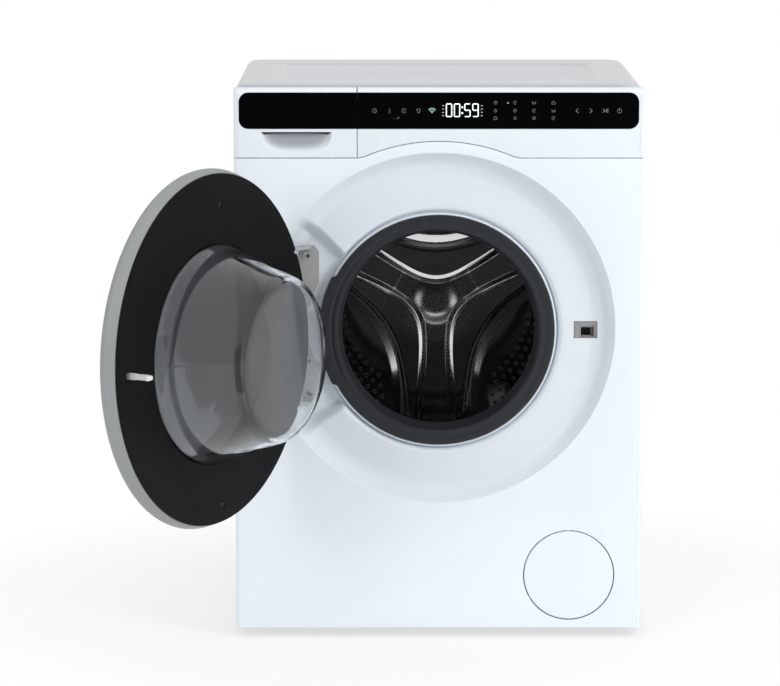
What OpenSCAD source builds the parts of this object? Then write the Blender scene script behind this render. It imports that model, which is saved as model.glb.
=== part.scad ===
// Compact front-loading washing machine, shown with its door open.
// X runs to the right, Y from front to back, Z up. The origin is on the floor,
// midway between the four feet. Depths written d are measured back from the front face.

/* [Cabinet] */
// Width over the side panels
body_w = 510; // [500:1:540]
// Depth from the front face to the rear edge of the worktop
body_d = 460; // [455:1:500]
// Overall height from the floor to the worktop
body_h = 698; // [694:1:730]
// Gap between the floor and the cabinet
foot_gap = 12; // [10:1:16]
// Thickness of the steel sheets
sheet = 1.2; // [0.8:0.1:1.5]
// Radius of the cabinet's front edges
edge_r = 4; // [3:0.5:6]
// Distance from the worktop's rear edge to the rear panel
rear_inset = 14; // [12:1:18]
// Width of the folded flanges
flange_w = 15; // [10:1:20]

/* [Worktop] */
// Thickness of the worktop frame
worktop_t = 18; // [16:1:22]
// Radius of the worktop's rear corners
worktop_r = 27; // [15:1:40]
// Half width of the pressed field on top
field_half_w = 198; // [150:1:215]
// Depth of the pressed field
field_depth = 1.5; // [0.5:0.5:3]

/* [Feet] */
// Foot spacing across the cabinet
foot_pitch_x = 380; // [360:1:400]
// Foot spacing front to back
foot_pitch_y = 300; // [280:1:320]
// Radius of the rubber foot pad
foot_pad_r = 21; // [16:0.5:24]
// Radius of the foot's threaded stem
foot_stem_r = 5; // [4:0.5:6]
// How far a foot screws out
foot_travel = 15; // [8:1:18]

/* [Front openings] */
// Height of the door's centre above the floor
door_z = 393.5; // [390:0.5:397]
// Radius of the door recess at the front face
dish_r = 221; // [218:0.5:224]
// Depth of the door recess
dish_d = 22; // [20:0.5:24]
// Depth of the pocket that the hinge sits in
pocket_d = 36; // [34:0.5:38]
// Half angle of the hinge pocket
pocket_half_angle = 38; // [35:1:42]
// Height of the seam below the control fascia
seam_z = 607.7; // [604:0.1:611]
// Radius of the seam's arch above the door
arch_r = 235; // [232:0.5:238]
// Radius that blends the arch into the straight seam
arch_blend_r = 25; // [15:1:30]

/* [Door] */
// Distance from the hinge axis to the door's centre line
hinge_x = 189.3; // [188:0.1:192]
// How far the hinge axis stands in front of the cabinet
hinge_out = 9; // [8:0.5:10]
// Angle at which the door stands open
door_angle = 119.9; // [90:0.1:125]
// Radius of the door at its widest
door_r = 218; // [216:0.5:218.5]
// Radius of the door's flat inner face
door_inner_r = 213; // [211:0.5:214]
// Distance from the hinge axis back to the door's inner face
door_back = 15; // [14:0.5:16]
// Wall of the door's plastic parts
door_wall = 2.5; // [2:0.1:3]
// Radius of the glass bowl where it leaves the inner face
bowl_r = 134; // [130:0.5:136]
// Depth of the glass bowl from the hinge axis
bowl_depth = 118; // [105:1:120]
// Wall of the glass bowl
glass_t = 4; // [3:0.5:6]
// Radius of the hinge pin
hinge_pin_r = 3; // [2.5:0.1:3.5]

/* [Drum and tub] */
// Height of the drum axis above the floor
drum_z = 388.5; // [386:0.5:391]
// Outer radius of the drum
drum_r = 215; // [205:1:218]
// Depth of the drum's front rim
drum_front_d = 64; // [63:0.5:68]
// Depth of the drum's rear wall
drum_rear_d = 300; // [280:1:304]
// Radius of the drum's mouth
drum_mouth_r = 131; // [128:0.5:140]
// Outer radius of the tub
tub_r = 231; // [229:0.5:234]
// Wall of the tub
tub_wall = 3; // [2.5:0.5:4]
// Outer radius of the seal's face
seal_r = 145.3; // [144:0.1:146]
// Inner radius of the seal's lip
seal_lip_r = 127; // [126.5:0.1:128]
// Radius of the drum shaft at the front bearing
shaft_r = 12.5; // [12:0.5:13]

/* [Drive] */
// Radius of the drum pulley
pulley_r = 140; // [120:1:150]
// Radius of the motor pulley
motor_pulley_r = 10; // [8:0.5:12]
// Radius of the motor
motor_r = 44; // [38:0.5:45]

/* [Control panel] */
// Left end of the black strip
strip_x0 = -248.6; // [-250:0.1:-246]
// Right end of the black strip
strip_x1 = 248.1; // [246:0.1:250]
// Lower edge of the black strip
strip_z0 = 643.8; // [641:0.1:646]
// Upper edge of the black strip
strip_z1 = 689.2; // [686:0.1:690]
// Corner radius of the black strip
strip_r = 12; // [8:0.5:14]
// Thickness of the strip
strip_t = 2; // [1.5:0.1:2.5]
// Seam between the drawer front and the fascia
drawer_seam_x = -101.7; // [-104:0.1:-99]

/* [Drawer] */
// Length of the detergent tray
tray_l = 205; // [180:1:215]
// Height of the detergent tray
tray_h = 54; // [45:1:58]
// How far the drawer pulls out
drawer_travel = 180; // [150:1:190]

/* [Filter hatch] */
// Sideways place of the hatch's centre
hatch_x = 164.5; // [160:0.5:168]
// Height of the hatch's centre
hatch_z = 79.5; // [77:0.5:84]
// Radius of the hatch
hatch_r = 56.3; // [52:0.1:58]
// Gap round the hatch
hatch_gap = 1.6; // [1:0.1:2]

/* [Hidden] */
$fn = 96;

// Clearance between pieces that stand side by side
gap = 0.3;
// Seam between visible panels
seam = 0.6;
// Running clearance of a shaft in its bore
run_fit = 0.05;
// Small overlap that makes a cut pass clean through
eps = 0.5;
front_y = -body_d / 2;
rear_y = body_d / 2 - rear_inset;
half_w = body_w / 2;
inner_w = half_w - sheet;
worktop_z = body_h - worktop_t;
fascia_top = body_h - 3;
hinge_y = front_y - hinge_out;

// Turns a profile of (radius, depth) points about an axis that runs front to back
module turned(z, pts, x = 0) {
    translate([x, front_y, z]) rotate([-90, 0, 0]) rotate_extrude($fn = 180) polygon(pts);
}
// Straight round bar or bore that runs front to back, from depth d0 to d1
module bar_y(x, z, r, d0, d1) {
    translate([x, front_y + d0, z]) rotate([-90, 0, 0]) cylinder(r = r, h = d1 - d0);
}
// Ring that runs front to back
module ring_y(x, z, r0, r1, d0, d1) {
    difference() {
        bar_y(x, z, r1, d0, d1);
        bar_y(x, z, r0, d0 - eps, d1 + eps);
    }
}
// Box between two corners
module span(a, b) {
    translate(a) cube([for (i = [0:2]) b[i] - a[i]]);
}
// Plate in the plane of the front face, drawn in x and z, from depth d0 to d1
module plate_y(d0, d1) {
    translate([0, front_y + d1, 0]) rotate([90, 0, 0]) linear_extrude(d1 - d0) children();
}
// Rectangle with round corners, from circles and squares
module round_rect(x0, z0, x1, z1, r) {
    translate([x0 + r, z0]) square([x1 - x0 - 2 * r, z1 - z0]);
    translate([x0, z0 + r]) square([x1 - x0, z1 - z0 - 2 * r]);
    for (x = [x0 + r, x1 - r], z = [z0 + r, z1 - r]) translate([x, z]) circle(r);
}
// Sector of a circle that opens to the left
module left_wedge(half_angle, r) {
    polygon([[0, 0], [-r * cos(half_angle), r * sin(half_angle)], [-r * 1.5, 0],
             [-r * cos(half_angle), -r * sin(half_angle)]]);
}

// Cabinet sheets

// Steel side panel with folded flanges along its front, rear and top edges
module side_panel(side) {
    panel_d0 = flange_w + gap;
    color("white") mirror([side > 0 ? 0 : 1, 0, 0]) difference() {
        span([half_w - flange_w, front_y + panel_d0, foot_gap], [half_w, rear_y + sheet, worktop_z]);
        span([half_w - flange_w - eps, front_y + panel_d0 + sheet, foot_gap - eps],
             [inner_w, rear_y, worktop_z - sheet]);
        span([half_w - flange_w - eps, front_y + panel_d0 - eps, seam_z],
             [inner_w, front_y + tray_l, worktop_z - sheet]);
    }
    color("white") mirror([side > 0 ? 0 : 1, 0, 0])
        span([spring_x - 11, front_y + spring_d - 6, spring_z1 + spring_wire],
             [inner_w + 0.1, front_y + spring_d + 6, spring_z1 + spring_wire + 5]);
}
module side_panel_left() { side_panel(-1); }
module side_panel_right() { side_panel(1); }

valve_x = -180;
valve_z = 640;
gland_x = 200;
gland_z = 640;
drain_x = 215;
drain_z = 590;
transit_x = 150;
transit_z = [220, 560];
transit_r = 9;
service_r = 165;
// Steel rear panel with the service opening, the transit holes and the connections
module rear_panel() {
    back = body_d - rear_inset;
    color("silver") difference() {
        span([-inner_w, rear_y - sheet, foot_gap + sheet], [inner_w, rear_y, worktop_z - sheet]);
        bar_y(0, drum_z, service_r, back - 5, back + eps);
        bar_y(valve_x, valve_z, valve_r + gap, back - 5, back + eps);
        bar_y(gland_x, gland_z, gland_r, back - 5, back + eps);
        bar_y(drain_x, drain_z, hose_cuff_r + gap, back - 5, back + eps);
        for (x = [-transit_x, transit_x], z = transit_z) bar_y(x, z, transit_r, back - 5, back + eps);
    }
}
// Round pressed cover over the service opening
module rear_cover() {
    back = body_d - rear_inset;
    color("gainsboro") turned(drum_z, [[0, back + 9], [150, back + 9], [service_r, back + sheet],
        [service_r + 15, back + sheet], [service_r + 15, back], [service_r - 1, back],
        [149, back + 9 - sheet], [0, back + 9 - sheet]]);
}
// Plastic plugs that close the four transit bolt holes
module transit_caps() {
    back = body_d - rear_inset;
    color("gray") for (x = [-transit_x, transit_x], z = transit_z) {
        bar_y(x, z, transit_r + 4, back, back + 3);
        bar_y(x, z, transit_r - 0.1, back - 8, back + eps);
    }
}
gland_r = 10;
cord_r = 4.2;
// Grommet that the mains lead passes through
module cord_gland() {
    back = body_d - rear_inset;
    color("black") difference() {
        union() {
            bar_y(gland_x, gland_z, gland_r - 0.1, back - 8, back + eps);
            bar_y(gland_x, gland_z, gland_r + 4, back, back + 6);
        }
        bar_y(gland_x, gland_z, cord_r, back - 9, back + 7);
    }
}
tray_wall = 3;
base_h = 40;
foot_places = [for (y = [-1, 1], x = [-1, 1]) [x * foot_pitch_x / 2, y * foot_pitch_y / 2]];
foot_boss_h = 28;
// Plastic base tray with the threaded foot bosses
module base_tray() {
    tray_d0 = sheet;
    color("dimgray") difference() {
        union() {
            difference() {
                span([-inner_w, front_y + tray_d0, foot_gap],
                     [inner_w, rear_y - sheet, foot_gap + base_h]);
                span([-inner_w + tray_wall, front_y + flange_w + sheet + 1, foot_gap + tray_wall],
                     [inner_w - tray_wall, rear_y - sheet - tray_wall, foot_gap + base_h + eps]);
            }
            for (p = foot_places) translate([p.x, p.y, foot_gap]) cylinder(r = 18, h = foot_boss_h);
        }
        for (p = foot_places)
            translate([p.x, p.y, foot_gap - eps]) cylinder(r = foot_stem_r, h = foot_boss_h + 1);
        for (s = [-1, 1]) mirror([s > 0 ? 0 : 1, 0, 0])
            span([half_w - flange_w - gap, front_y - eps, foot_gap - eps],
                 [half_w, front_y + flange_w + gap + sheet + eps, foot_gap + base_h + eps]);
        bar_y(hatch_x, hatch_z, hatch_r + 6, -eps, flange_w + sheet + 2);
    }
}
foot_pad_h = 7;
foot_nut_h = foot_gap - foot_pad_h;
// Levelling foot: a rubber pad on a threaded stem, screwed fully in
module foot(i) {
    color("black") translate([foot_places[i].x, foot_places[i].y, 0]) {
        cylinder(r = foot_pad_r, h = foot_pad_h);
        cylinder(r = foot_stem_r - run_fit, h = foot_gap + foot_boss_h);
    }
}
module foot_front_left() { foot(0); }
module foot_front_right() { foot(1); }
module foot_rear_left() { foot(2); }
module foot_rear_right() { foot(3); }
// Locking nuts between the pads and the base
module foot_nuts() {
    color("silver") for (p = foot_places) translate([p.x, p.y, foot_pad_h]) difference() {
        cylinder(r = 9.8, h = foot_nut_h, $fn = 6);
        translate([0, 0, -eps]) cylinder(r = foot_stem_r, h = foot_nut_h + 1);
    }
}

// Front panel

// Outline of the front panel's upper edge, with the arch over the door
module front_outline(grow) {
    r = arch_r + grow;
    z1 = seam_z + grow;
    b = arch_blend_r - grow;
    xc = sqrt(pow(r + b, 2) - pow(z1 + b - door_z, 2));
    t = r / (r + b);
    translate([-half_w - grow, foot_gap]) square([body_w + 2 * grow, z1 - foot_gap]);
    intersection() {
        translate([0, door_z]) circle(r, $fn = 180);
        translate([-xc, seam_z - 60]) square([2 * xc, 100]);
    }
    for (s = [0, 1]) mirror([s, 0]) difference() {
        polygon([[xc, z1 - 1], [xc, z1 + b], [xc * t, door_z + (z1 + b - door_z) * t], [xc * t, z1 - 1]]);
        translate([xc, z1 + b]) circle(b);
    }
}
dish_floor_r = 196;
// Profile of the dish wall from the face back to the floor, as radius and depth
function dish_wall(g) = [[dish_r + g, 0], [dish_r - 1 + g, 2], [dish_r - 4 + g, 8 + g / 2],
    [dish_r - 9 + g, 14 + g / 1.5], [dish_r - 16 + g / 2, 19 + g], [dish_floor_r, dish_d + g]];
// Profile of the hinge pocket's wall
function pocket_wall(g) = [[dish_r + g, 0], [dish_r - 2 + g, 8], [dish_r - 6 + g, 20],
    [dish_r - 13 + g, 30 + g / 2], [dish_r - 25, pocket_d + g]];
function backwards(v) = [for (i = [len(v) - 1:-1:0]) v[i]];
port_r = seal_r + 0.7;
pocket_r0 = seal_r + 10;
// Pressed steel front with the door recess, the hinge pocket and the hatch hole
module front_panel() {
    full = concat(dish_wall(0), [[port_r - 20, dish_d], [port_r - 20, dish_d + sheet]],
        backwards(dish_wall(sheet)));
    pocket = concat(pocket_wall(0), [[pocket_r0, pocket_d], [pocket_r0, pocket_d + sheet]],
        backwards(pocket_wall(sheet)));
    cheek = concat(pocket_wall(0.4), [[pocket_r0, pocket_d + 0.4], [pocket_r0, dish_d + 0.4]],
        backwards(dish_wall(0.4)));
    color("white") difference() {
        union() {
            difference() {
                plate_y(0, sheet) front_outline(0);
                bar_y(0, door_z, dish_r + 0.01, -eps, 5);
            }
            difference() {
                span([-half_w, front_y, foot_gap], [half_w, front_y + flange_w, seam_z]);
                span([-inner_w, front_y - eps, foot_gap - eps], [inner_w, front_y + 20, seam_z + eps]);
            }
            difference() {
                turned(door_z, full);
                plate_y(dish_d - 30, 60) translate([0, door_z]) left_wedge(pocket_half_angle, 260);
            }
            intersection() {
                turned(door_z, pocket);
                plate_y(-1, 60) translate([0, door_z]) left_wedge(pocket_half_angle, 260);
            }
            for (s = [-1, 1]) translate([0, front_y, door_z]) rotate([0, s * pocket_half_angle, 0])
                mirror([1, 0, 0]) translate([0, 0, -sheet / 2]) linear_extrude(sheet) polygon(cheek);
            bar_y(hatch_x, hatch_z, hatch_r + hatch_gap + sheet, sheet - eps, 8);
            turned(drum_z, [[port_r, dish_d - 1.2], [port_r + 6, dish_d - 1.2], [port_r + 7, dish_d],
                [port_r + 7, dish_d + sheet], [port_r, dish_d + sheet]]);
        }
        bar_y(0, drum_z, port_r, dish_d - 5, 60);
        bar_y(hatch_x, hatch_z, hatch_r + hatch_gap, -eps, 9);
        for (s = [0, 1]) mirror([s, 0, 0]) difference() {
            span([half_w - edge_r, front_y - eps, foot_gap - eps], [half_w + eps, front_y + edge_r, body_h]);
            translate([half_w - edge_r, front_y + edge_r, 0]) cylinder(r = edge_r, h = body_h);
        }
        lock_window();
    }
}

lock_x0 = 170;
lock_x1 = 199;
lock_z0 = 379;
lock_z1 = 400;
lock_slot_x0 = 177.5;
lock_slot_x1 = 195.5;
lock_slot_z0 = 381.8;
lock_slot_z1 = 392.2;
catch_w = 4.6;
// Window in the dish floor for the lock's face
module lock_window() {
    plate_y(dish_d - 8, dish_d + 4)
        round_rect(lock_x0 - gap, lock_z0 - gap, lock_x1 + gap, lock_z1 + gap, 2);
}
// Door lock: a ribbed face in the dish floor with its switch box behind
module door_lock() {
    color("silver") difference() {
        union() {
            plate_y(dish_d - 1, dish_d + 6) round_rect(lock_x0, lock_z0, lock_x1, lock_z1, 2);
            span([lock_x0 - 4, front_y + dish_d + sheet, lock_z0 - 12],
                 [lock_x1 + 3, front_y + dish_d + 24, lock_z1 + 12]);
        }
        span([lock_slot_x0, front_y + dish_d - 5, lock_slot_z0],
             [lock_slot_x1, front_y + dish_d + 20, lock_slot_z1]);
    }
}
// Sliding catch inside the lock's slot
module lock_slider() {
    color("gray") span([lock_slot_x1 - catch_w, front_y + dish_d + 3, lock_slot_z0 + gap],
        [lock_slot_x1 - gap, front_y + dish_d + 8.3, lock_slot_z1 - gap]);
}
hatch_t = 2.5;
clip_at = hatch_r + hatch_gap - 3 - run_fit;
// Round cover over the pump filter, held by three clips
module filter_hatch() {
    color("white") {
        bar_y(hatch_x, hatch_z, hatch_r, 0, hatch_t);
        for (a = [90, 210, 330])
            bar_y(hatch_x + clip_at * cos(a), hatch_z + clip_at * sin(a), 3, hatch_t - eps, 12);
    }
}

// Top

// Steel brace behind the control panel
module front_crossbar() {
    color("silver") difference() {
        span([drawer_seam_x + 6, front_y + 32, worktop_z - 45], [inner_w, front_y + 48, worktop_z - sheet]);
        span([drawer_seam_x + 5, front_y + 32 + sheet, worktop_z - 46],
             [inner_w + eps, front_y + 49, worktop_z - 2 * sheet]);
    }
}
// Steel brace along the rear of the cabinet
module rear_crossbar() {
    color("silver") difference() {
        span([-inner_w, rear_y - 32, worktop_z - 30], [inner_w, rear_y - sheet, worktop_z - sheet]);
        span([-inner_w - eps, rear_y - 33, worktop_z - 31],
             [inner_w + eps, rear_y - 2 * sheet, worktop_z - 2 * sheet]);
        translate([gland_x, rear_y, gland_z]) cube([40, 80, 60], center = true);
        translate([valve_x, rear_y, valve_z]) cube([70, 80, 90], center = true);
    }
}
worktop_d0 = 14.5;
field_d0 = 130;
field_d1 = 369;
// Worktop with a shallow pressed field
module worktop() {
    r = worktop_r;
    y0 = front_y + worktop_d0;
    y1 = body_d / 2;
    color("gainsboro") difference() {
        translate([0, 0, worktop_z]) linear_extrude(worktop_t) {
            translate([-half_w + r, y0]) square([body_w - 2 * r, y1 - y0]);
            translate([-half_w, y0]) square([body_w, y1 - y0 - r]);
            for (x = [-half_w + r, half_w - r]) translate([x, y1 - r]) circle(r);
        }
        span([-field_half_w, front_y + field_d0, body_h - field_depth],
             [field_half_w, front_y + field_d1, body_h + eps]);
        span([-half_w + 12, y0 + 12, worktop_z - eps], [half_w - 12, y1 - r - 2, body_h - 6]);
    }
}

// Control panel and drawer front

fascia_t = 4;
fascia_end_t = 3;
// Profile of the fascia in depth and height, rounded along its top front edge
module fascia_body(x0, x1) {
    top_r = 8;
    depth = worktop_d0 - seam;
    end_x = x0 < -half_w / 2 ? x0 : x1 - fascia_end_t;
    intersection() {
        union() {
            translate([x0, 0, 0]) rotate([90, 0, 90]) linear_extrude(x1 - x0) difference() {
                union() {
                    translate([front_y, seam_z]) square([fascia_t, fascia_top - top_r - seam_z]);
                    translate([front_y + top_r, fascia_top - 3]) square([depth - top_r, 3]);
                    translate([front_y + top_r, fascia_top - top_r]) circle(top_r);
                }
                translate([front_y + fascia_t, fascia_top - 2 * top_r - 1])
                    square([top_r * 2, top_r * 2 - 3]);
                translate([front_y + depth, fascia_top - 2 * top_r]) square([top_r, top_r * 2 + 1]);
            }
            span([end_x, front_y + 2, seam_z], [end_x + fascia_end_t, front_y + depth, fascia_top - 1.5]);
        }
        union() {
            span([x0 + edge_r, front_y - 1, seam_z - 1], [x1 - edge_r, front_y + 40, body_h]);
            span([x0 - 1, front_y + edge_r, seam_z - 1], [x1 + 1, front_y + 40, body_h]);
            translate([x0 + (x0 < -half_w / 2 ? edge_r : 1), front_y + edge_r, seam_z - 1])
                cylinder(r = x0 < -half_w / 2 ? edge_r : 1, h = body_h);
            if (x0 > -half_w / 2) span([x0, front_y - 1, seam_z - 1], [x0 + 20, front_y + 20, body_h]);
            if (x1 < half_w / 2) span([x1 - 20, front_y - 1, seam_z - 1], [x1, front_y + 20, body_h]);
            translate([x1 - edge_r, front_y + edge_r, seam_z - 1]) cylinder(r = edge_r, h = body_h);
        }
    }
}
// Outline of the black strip
module strip_outline(grow) {
    round_rect(strip_x0 - grow, strip_z0 - grow, strip_x1 + grow, strip_z1 + grow, strip_r + grow);
}
fascia_x0 = drawer_seam_x + seam;
// White control fascia with the arch over the door
module control_fascia() {
    color("white") difference() {
        fascia_body(fascia_x0, half_w);
        plate_y(-eps, fascia_t + 20) front_outline(seam);
        plate_y(-eps, strip_t) strip_outline(0);
    }
}
// Black glass strip in front of the display
module control_glass() {
    color("black") intersection() {
        plate_y(0, strip_t) strip_outline(0);
        span([fascia_x0, front_y - 1, strip_z0 - 1], [half_w, front_y + 9, strip_z1 + 1]);
    }
}
strip_mid_z = (strip_z0 + strip_z1) / 2;
// Circuit board that carries the display and the touch keys
module display_board() {
    color("darkgreen") {
        span([-95, front_y + 16, strip_z0 + 2], [235, front_y + 18, strip_z1 - 10]);
        for (x = [drawer_seam_x + 17, strip_x1 - 23]) bar_y(x, strip_mid_z, 4, fascia_t, 16.5);
        span([0, front_y + 7, strip_mid_z - 10.5], [60, front_y + 16.5, strip_mid_z + 11]);
    }
}
scoop_x0 = -222;
scoop_x1 = -133;
scoop_z0 = seam_z + 7.3;
scoop_z1 = strip_z0 - 3.8;
scoop_d = 11;
// White drawer front with the finger scoop
module drawer_front() {
    x1 = drawer_seam_x;
    color("white") difference() {
        union() {
            difference() {
                fascia_body(-half_w, x1);
                plate_y(-eps, fascia_t + 20) front_outline(seam);
            }
            span([scoop_x0 - 2, front_y + 1, scoop_z0 - 2],
                 [scoop_x1 + 2, front_y + scoop_d + 2, scoop_z1 + 2]);
        }
        plate_y(-eps, scoop_d) round_rect(scoop_x0, scoop_z0, scoop_x1, scoop_z1, 6);
        plate_y(-eps, strip_t) strip_outline(0);
    }
}
// Left end of the black strip, on the drawer
module drawer_glass() {
    color("black") intersection() {
        plate_y(0, strip_t) strip_outline(0);
        span([-half_w, front_y - 1, scoop_z1 + 3], [drawer_seam_x, front_y + 9, strip_z1 + 1]);
    }
}
tray_x0 = -244;
tray_x1 = -112;
tray_z0 = 616;
// Detergent tray with three compartments
module detergent_tray() {
    wall = 2;
    parts = [tray_x0 + wall, -195, -153, tray_x1];
    d0 = worktop_d0 + 0.5;
    color("whitesmoke") difference() {
        union() {
            span([tray_x0, front_y + d0, tray_z0], [tray_x1, front_y + d0 + tray_l, tray_z0 + tray_h]);
            for (x = [tray_x0 + 8, tray_x1 - 16])
                span([x, front_y + fascia_t, tray_z0 + 34], [x + 8, front_y + d0 + eps, tray_z0 + 44]);
        }
        for (i = [0:2])
            span([parts[i], front_y + d0 + wall, tray_z0 + wall + 1],
                 [parts[i + 1] - wall, front_y + d0 + tray_l - wall, tray_z0 + tray_h + eps]);
    }
}
housing_wall = 2;
housing_d0 = 16;
housing_d1 = housing_d0 + tray_l + 14;
outlet_x = -170;
outlet_d = 150;
// Box that the tray slides in, with its outlet down to the tub
module drawer_housing() {
    w = housing_wall;
    z0 = tray_z0 - 1 - w;
    color("silver") difference() {
        union() {
            span([tray_x0 - 1 - w, front_y + housing_d0, z0],
                 [tray_x1 + 1 + w, front_y + housing_d1, worktop_z - sheet]);
            translate([outlet_x, front_y + outlet_d, z0 - 12]) cylinder(r = 18, h = 13);
        }
        span([tray_x0 - 1, front_y + housing_d0 - 1, tray_z0 - 1],
             [tray_x1 + 1, front_y + housing_d1 - w, worktop_z - sheet - w]);
        translate([outlet_x, front_y + outlet_d, z0 - 13]) cylinder(r = 15, h = 20);
    }
}
// Rubber bellows from the drawer housing to the tub
module dispenser_hose() {
    z1 = tray_z0 - 1 - housing_wall;
    color("dimgray") translate([outlet_x, front_y + outlet_d, 0]) rotate_extrude() polygon(concat(
        [[18.1, z1]],
        [for (i = [0:8]) [i % 2 == 0 ? 20 : 23, z1 - i * 5]],
        [[20, z1 - 43], [18.1, z1 - 43]]));
}
hose_r = 11;
hose_cuff_r = hose_r + 1.5;
valve_r = 15;
valve_box_d = 60;
valve_nozzle_d = 46;
valve_nozzle_r = 7;
spigot_r = 13.2;
// Water inlet valve with its threaded spigot through the rear panel
module inlet_valve() {
    back = body_d - rear_inset;
    color("white") {
        bar_y(valve_x, valve_z, spigot_r, back - 6, body_d);
        bar_y(valve_x, valve_z, valve_r + 3, back - 9, back - sheet);
        span([valve_x - 18, rear_y - valve_box_d, valve_z - 18], [valve_x + 18, rear_y - 8, valve_z + 18]);
        bar_y(valve_x, valve_z, valve_nozzle_r, back - valve_box_d - valve_nozzle_d, back - valve_box_d + 1);
    }
}

// Tub

tub_front_d = 52;
tub_split_d = 180;
tub_rear_d = drum_rear_d + 18;
neck_r = 143.5;
flange_r = tub_r + 7;
front_bearing_r = 26;
rear_bearing_r = 23.5;
boss_r = 40;
seal_w = 8;
bearing_w = 15;
front_bearing_d = tub_rear_d + seal_w;
rear_bearing_d = front_bearing_d + bearing_w + 3;
boss_d = rear_bearing_d + 14;
outlet_z = 584;
sump_x = hatch_x - 62;
sump_d = 75;
sump_top = 173.5;
sump_hose_r = 16;
sump_nozzle_r = 13.5;
// Front half of the tub, with the neck that carries the seal
module tub_front() {
    w = tub_wall;
    color("darkgray") difference() {
        union() {
            turned(drum_z, [[neck_r - w, 40], [neck_r, 40], [neck_r, tub_front_d], [tub_r, tub_front_d],
                [tub_r, tub_split_d - 5], [flange_r, tub_split_d - 5], [flange_r, tub_split_d],
                [tub_r - w, tub_split_d], [tub_r - w, tub_front_d + w], [neck_r - w, tub_front_d + w]]);
            difference() {
                union() {
                    translate([outlet_x, front_y + outlet_d, outlet_z - 64]) cylinder(r = 18, h = 64);
                    translate([sump_x, front_y + sump_d, sump_top - 16]) cylinder(r = sump_nozzle_r, h = 32);
                }
                bar_y(0, drum_z, tub_r - w, tub_front_d, tub_split_d);
            }
        }
        translate([outlet_x, front_y + outlet_d, outlet_z - 70]) cylinder(r = 15, h = 80);
        translate([sump_x, front_y + sump_d, sump_top - 17]) cylinder(r = sump_nozzle_r - 3, h = 50);
    }
}
spring_x = 240;
spring_d = 260;
spring_z0 = 470;
spring_z1 = 590;
spring_wire = 2.6;
damper_x = 185;
damper_d = 270;
damper_top = 238;
heater_x = 14;
heater_r = 4;
heater_z = drum_z - (drum_r + tub_r - tub_wall) / 2;
motor_x = 60;
motor_z = 102;
lug_x = 50;
// Rear half of the tub, with the bearing boss and the motor lugs
module tub_rear() {
    w = tub_wall;
    color("darkgray") difference() {
        union() {
            turned(drum_z, [[tub_r - w, tub_split_d], [flange_r, tub_split_d], [flange_r, tub_split_d + 5],
                [tub_r, tub_split_d + 5], [tub_r, tub_rear_d + w], [boss_r, tub_rear_d + w], [boss_r, boss_d],
                [rear_bearing_r, boss_d], [rear_bearing_r, rear_bearing_d],
                [rear_bearing_r - 3, rear_bearing_d],
                [rear_bearing_r - 3, rear_bearing_d - 3], [front_bearing_r, rear_bearing_d - 3],
                [front_bearing_r, tub_rear_d], [tub_r - w, tub_rear_d]]);
            for (a = [0:30:330]) translate([0, 0, drum_z]) rotate([0, a, 0]) translate([0, 0, -drum_z])
                span([boss_r - 1, front_y + tub_rear_d + 1, drum_z - 2],
                     [tub_r - 2, front_y + tub_rear_d + 12, drum_z + 2]);
            difference() {
                union() {
                    for (s = [-1, 1], d = [motor_lug_d0, motor_lug_d1])
                        span([motor_x + s * lug_x - 8, front_y + d, motor_z - 10],
                             [motor_x + s * lug_x + 8, front_y + d + 8, motor_z + 110]);
                    for (s = [-1, 1]) {
                        span([s * damper_x - 12, front_y + damper_d - 8, damper_top],
                             [s * damper_x + 12, front_y + damper_d + 8, damper_top + 40]);
                        span([s * (spring_x - 8) - 17, front_y + spring_d - 5, spring_z0 - 10],
                             [s * (spring_x - 8) + 17, front_y + spring_d + 5, spring_z0 - spring_wire]);
                    }
                }
                bar_y(0, drum_z, tub_r - 1, tub_split_d - 1, tub_rear_d + 22);
            }
        }
        span([-heater_x - 9, front_y + tub_rear_d - 1, heater_z - 7],
             [heater_x + 9, front_y + tub_rear_d + 14, heater_z + 7]);
    }
}
// Rubber bellows between the front panel and the tub
module door_seal() {
    r = seal_r;
    color("dimgray") union() {
        turned(drum_z, [[seal_lip_r, dish_d - 1.5], [seal_lip_r + 7, dish_d - 1.5],
            [seal_lip_r + 8, dish_d - 0.8],
            [seal_lip_r + 9, dish_d - 1.5], [r, dish_d - 1.5], [r, dish_d + 2], [r + 4, dish_d + 2.2],
            [r + 4, dish_d + 4.5], [r - 3, dish_d + 5], [r - 3, dish_d + 10], [r + 4, dish_d + 12],
            [r + 4, dish_d + 26], [neck_r + 0.1, dish_d + 26], [neck_r + 0.1, dish_d + 16],
            [r - 5.5, dish_d + 15],
            [r - 5.5, dish_d + 3], [seal_lip_r, dish_d + 2.5]]);
        intersection() {
            turned(drum_z, [[r - 1, dish_d - 2.5], [r + 4.5, dish_d - 2.5], [r + 4.5, dish_d - 1.5],
                [r + 0.3, dish_d - 1.5], [r - 1, dish_d]]);
            plate_y(-1, 60) translate([0, drum_z]) left_wedge(28, 200);
        }
    }
}
// Spring band that holds the seal on the tub's neck
module seal_clamp() {
    color("silver") ring_y(0, drum_z, seal_r + 4.1, seal_r + 6.1, dish_d + 17, dish_d + 23);
}

// Drum

drum_t = 1;
// Perforated steel wall of the drum
module drum_shell() {
    color("lightgray") ring_y(0, drum_z, drum_r - drum_t, drum_r, drum_front_d + 2, drum_rear_d - 4);
}
// Pressed front rim round the drum's mouth
module drum_front_rim() {
    color("lightgray") turned(drum_z, [[drum_mouth_r, drum_front_d], [drum_r, drum_front_d],
        [drum_r, drum_front_d + 2], [drum_mouth_r + 2, drum_front_d + 2],
        [drum_mouth_r + 2, drum_front_d + 10], [drum_mouth_r, drum_front_d + 10]]);
}
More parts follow.
